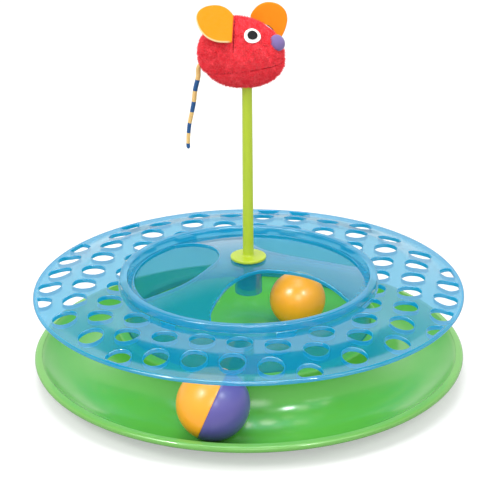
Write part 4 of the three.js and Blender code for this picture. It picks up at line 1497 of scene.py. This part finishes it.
    def patch(self, place: tuple[float, float], section: np.ndarray, base: float) -> Patch:
        """A round felt patch that lies on the skin.

        Its section's radius becomes a step in the skin's two parameters, each divided by the skin's own
        slope there, and its section's height becomes an offset from the skin.

        Args:
            place: The parameters of its middle.
            section: Rows of radius and height, from the middle of the top to the middle of the underside.
            base: The offset at height 0.

        Returns:
            The patch in the world's directions.
        """
        u, angle = place
        normal = self.normal(u, angle)
        side = unit(np.cross(UP, normal))
        flat = section[:, None, :1] * spokes(side, np.cross(normal, side), 64)
        change = flat @ np.linalg.pinv(np.column_stack(self.slopes(u, angle))).T
        offset = base + np.broadcast_to(section[:, None, 1], flat.shape[:2])
        return Patch.grid(self.world(self.skin(u + change[..., 0], angle + change[..., 1], offset)))

    def face(self) -> None:
        """Makes the eyes and the nose."""
        white = Cloth("white_felt", Colour.WHITE, Colour.WHITE, 1600.0, 0.08, sheen=0.1).material()
        black = Cloth("black_felt", Colour.BLACK, Colour.RUBBER, 1600.0, mottle=0.5, sheen=0.03).material()
        h = self.felt
        layers = (("white", self.eye_radius, -self.sink, white, "felt_white"),
                  ("pupil", self.pupil_radius, h - self.sink, black, "felt_black"))
        for side, angle in self.eyes():
            for layer, r, base, finish, slot in layers:
                corners = np.array([[0, h * 1.05], [r * 0.7, h], [r, h * 0.85], [r, 0], [0, 0]])
                section = fillet(corners, np.array([0, r * 0.25, 0.5, 0.25, 0]), 8)
                felt = self.patch((self.eye[0], angle), section, base)
                piece = made(f"eye_{layer}_{side}_felt", [felt], finish)
                settled(piece, "mouse", slot, f"eye_{layer}_{side}")
        self.snout()

    def snout(self) -> None:
        """Makes the padded nose: an ellipsoid whose middle lies on the skin, a little flat in front."""
        facing = unit(np.array(self.nose_facing))
        side = unit(np.cross(UP, facing))
        frame = np.column_stack((side, np.cross(facing, side), facing)) * self.nose_size
        section = arc(0, 0, 1, RIGHT, -RIGHT, 36)
        section[[0, -1], 0] = 0
        pad = Patch.turned(section, sides=72).moved(self.skin(*self.nose), frame)
        violet = Cloth("violet_felt", Colour.VIOLET, Colour.VIOLET, fibre_height=0.12, mottle=0.3).material()
        nose = made("nose_pad", [pad.at(self.world(pad.points))], violet)
        settled(nose, "mouse", "felt_violet", "nose")

    def ears(self) -> None:
        """Makes both felt ears, each cupped a little about its sewn edge."""
        u, angle = self.ear
        near_root = self.skin(u, math.pi - angle, self.near_ear_lift)
        far_root = self.skin(u, angle) - UP * self.far_ear_drop
        # the near ear's cut edge takes a painted highlight
        amber = Cloth("amber_felt", Colour.AMBER, Colour.EAR_EDGE_HIGHLIGHT, mottle=0.02, sheen=0.03).material()
        orange = Cloth("orange_felt", Colour.FAR_ORANGE, Colour.AMBER, sheen=0.05).material()
        shares = np.array(self.ear_shares) * [self.ear_length, self.ear_width]
        outline = softened(resampled(spline(shares, 12), 200), 0.35)
        sides = (("right", near_root, self.near_ear_axes, amber, "felt_amber"),
                 ("left", far_root, self.far_ear_axes, orange, "felt_orange"))
        for side, root, axes, finish, slot in sides:
            piece = made(f"ear_{side}_felt", [self.leaf(outline, root, *np.array(axes, float))], finish)
            settled(piece, "mouse", slot, f"ear_{side}")

    def leaf(self, outline: np.ndarray, root: np.ndarray, edge: np.ndarray, away: np.ndarray) -> Patch:
        """A felt sheet of an outline.

        Rings shrink from the outline to its middle, on the front and on the back; between them the cut
        edge is a half circle. The sheet bends by cup times the squared distance along its sewn edge.

        Args:
            outline: Points along the edge and away from it.
            root: Middle of the sewn edge.
            edge: Direction along the sewn edge.
            away: Direction away from it.

        Returns:
            The patch, painted on its cut edge: a painted highlight on the near ear.
        """
        half = self.ear_felt / 2
        middle = outline.mean(0)
        share = (np.linspace(0, 1, 22) ** 0.8)[:-1, None, None]
        face = middle + share * (pushed_out(outline, -half) - middle)
        rim = np.linspace(RIGHT, -RIGHT, 9)
        cut = [pushed_out(outline, half * math.cos(a) - half) for a in rim]
        flat = np.vstack((face, cut, face[::-1]))
        level = np.full(len(face), half)
        lift = np.concatenate((level, half * np.sin(rim), -level))[:, None]
        # paint on the cut edge: the near ear's painted highlight
        paint = np.pad(smoothstep(0.2, 0.7, np.cos(rim)), len(face))[:, None]
        cup = self.ear_cup * flat[..., 0] ** 2
        high = lift + cup * np.clip(flat[..., 1] / self.ear_width, 0, 1)
        points = root + flat[..., :1] * edge + flat[..., 1:] * away + high[..., None] * np.cross(edge, away)
        return Patch.grid(self.world(points), paint * smoothstep(0.5, 2.5, flat[..., 1]))

    def cup(self) -> None:
        """Makes the stiff cup inside the body that holds the mast's end."""
        lowest = float(self.skin(self.setback / self.half_length, -RIGHT)[2])
        bottom, bore, outer, reach, length = lowest + 3.4, 3.05, 5.6, 14.3, 18.0
        corners = np.array([[0, bottom + reach], [bore, bottom + reach], [bore, bottom], [outer, bottom],
                            [outer, bottom + length], [0, bottom + length]])
        section = fillet(corners, np.full(len(corners), 0.3))
        white = Moulded("white_plastic", Colour.WHITE, Colour.WHITE, roughness=0.5).material()
        piece = made("mast_cup", [Patch.turned(section, sides=SMALL_SIDES)], white)
        settled(piece, "mouse", "socket_white", "mouse_socket")

    def build(self) -> None:
        """Makes everything but the tail, which comes first of all."""
        self.body()
        self.face()
        self.ears()
        self.cup()


@dataclass(frozen=True)
class Lamp:
    """A square area lamp that points at the toy, in metres and watts."""

    name: str
    place: tuple[float, float, float]
    size: float
    watts: float
    glossy_only: bool = False  # it shows in reflections and lights nothing else

    def hang(self) -> None:
        """Makes the lamp."""
        data = bpy.data.lights.new(self.name, "AREA")
        data.size, data.energy = self.size, self.watts
        lamp = bpy.data.objects.new(self.name, data)
        lamp.visible_diffuse = not self.glossy_only
        bpy.context.collection.objects.link(lamp)
        back = Vector(self.place) - Vector((0, 0, 0.05))
        lamp.matrix_world = Matrix.Translation(self.place) @ back.to_track_quat("Z", "Y").to_matrix().to_4x4()


@dataclass
class Studio:
    """Camera, floor, lamps and the white surround."""

    eye: tuple[float, float, float] = (0.001, -0.9375, 0.461)
    pitch: float = math.radians(67.55)
    roll: float = math.radians(-0.4)
    lens: float = 127.2
    floor_half: float = 6.0
    ambient: float = 0.7
    horizon: float = 1.3
    ceiling: float = 0.05
    zenith: float = 3.5
    darkening: tuple[float, float] = (30, 46)  # degrees up between which the mirrored white ends
    overhead: tuple[float, float] = (62, 76)  # degrees up between which the bright field begins
    lamps: tuple[Lamp, ...] = (
        Lamp("key_lamp", (-0.95, -0.6, 1.2), 0.6, 10.0),
        Lamp("fill_lamp", (1.0, -0.6, 1.1), 0.6, 5.0),
        Lamp("front_lamp", (0.1, -1.5, 0.95), 0.6, 7.5),
        Lamp("top_lamp", (-0.05, 0.1, 1.5), 0.8, 12.0),
        Lamp("left_spark", (-0.6, -0.5, 0.9), 0.08, 5.0, glossy_only=True),
        Lamp("right_spark", (0.5, -0.7, 0.9), 0.08, 5.0, glossy_only=True),
    )

    def camera(self) -> None:
        """Makes the camera at the photograph's viewing angle."""
        data = bpy.data.cameras.new("camera")
        data.lens, data.sensor_width = self.lens, 36.0
        data.clip_start, data.clip_end = 0.01, 50
        camera = bpy.data.objects.new("camera", data)
        bpy.context.collection.objects.link(camera)
        turn = Matrix.Rotation(self.pitch, 4, "X") @ Matrix.Rotation(self.roll, 4, "Z")
        camera.matrix_world = Matrix.Translation(self.eye) @ turn
        bpy.context.scene.camera = camera

    def surround(self) -> None:
        """Makes the world.

        It gives soft light all round, and is plain white to the camera and to clear plastic. Mirrors see
        white low down, a dark ceiling and a bright field overhead: the ray's z, which is the sine of its
        height, carries one over to the next between the given angles.
        """
        world = bpy.data.worlds.new("surround")
        bpy.context.scene.world = world
        tree = Tree(world, "OutputWorld")
        path = tree.add("LightPath").outputs
        height = tree.add("SeparateXYZ", {"Vector": tree.add("TexCoord").outputs["Generated"]}).outputs["Z"]
        low, high, start, end = (math.sin(math.radians(a)) for a in (*self.darkening, *self.overhead))
        dark = tree.ranged(height, low, high, (self.horizon, self.ceiling))
        mirrored = tree.worked("ADD", dark, tree.ranged(height, start, end, (0.0, self.zenith)))
        lighting = tree.chosen(path["Is Glossy Ray"], self.ambient, mirrored)
        seen = tree.worked("MAXIMUM", path["Is Camera Ray"], path["Is Transmission Ray"])
        strength = tree.chosen(seen, lighting, 1.0)
        tree.finish(tree.add("Background", {"Color": Colour.LIGHT, "Strength": strength}))

    def floor(self) -> None:
        """Makes the pale floor, a little glossy."""
        mesh = bpy.data.meshes.new("floor")
        half = self.floor_half
        corners = [(-half, -half, 0), (half, -half, 0), (half, half, 0), (-half, half, 0)]
        mesh.from_pydata(corners, [], [(0, 1, 2, 3)])
        tree = Tree.of_material("floor_white")
        rough = tree.ranged(tree.noise(3.0), 0.3, 0.7, (0.32, 0.38))
        base = tree.add("BsdfPrincipled", {"Base Color": Colour.FLOOR, "Roughness": rough})
        camera_ray = tree.add("LightPath").outputs["Is Camera Ray"]
        glow = tree.add("Emission", {"Color": Colour.LIGHT, "Strength": camera_ray})
        mesh.materials.append(tree.finish(tree.layered(0.4, base, glow)))
        floor = bpy.data.objects.new("floor", mesh)
        bpy.context.collection.objects.link(floor)

    def build(self) -> None:
        """Makes the floor, the lamps and the surround."""
        self.floor()
        self.surround()
        for lamp in self.lamps:
            lamp.hang()


def main() -> None:
    """Loads the model and makes every piece."""
    logging.basicConfig(level=logging.INFO, format="%(message)s")
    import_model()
    bpy.context.scene.view_settings.view_transform = "Standard"
    studio = Studio()
    studio.camera()
    mouse = Mouse()
    mouse.tail()
    sizes = Sizes()
    Tray(sizes).build()
    blue = SeeThrough("blue_clear_plastic").material()
    Cover(sizes).build(blue)
    Dome(sizes).build(blue)
    low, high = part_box("mast_rod")
    Mast(end=low[2] / MM, top=high[2] / MM).build()
    purple, orange = (
        Moulded(name, colour, colour, roughness=0.33, skin=0.03, skin_scale=1500.0, ior=1.6).material()
        for name, colour in (("purple_plastic", Colour.PURPLE), ("orange_plastic", Colour.ORANGE))
    )
    white = Moulded("bead_plastic", Colour.WHITE, Colour.WHITE, roughness=0.4).material()
    Ball("lower_ball", "lower_bead", sizes.lower_ball, sizes.track_radius, sizes.track_floor,
         angle=math.radians(-101.3)).build(purple, orange, white)
    Ball("upper_ball", "upper_bead", sizes.upper_ball, sizes.chamber_radius,
         sizes.platform - sizes.chamber_depth, angle=math.radians(3)).build(purple, orange, white)
    mouse.build()
    studio.build()


if __name__ == "__main__":
    main()
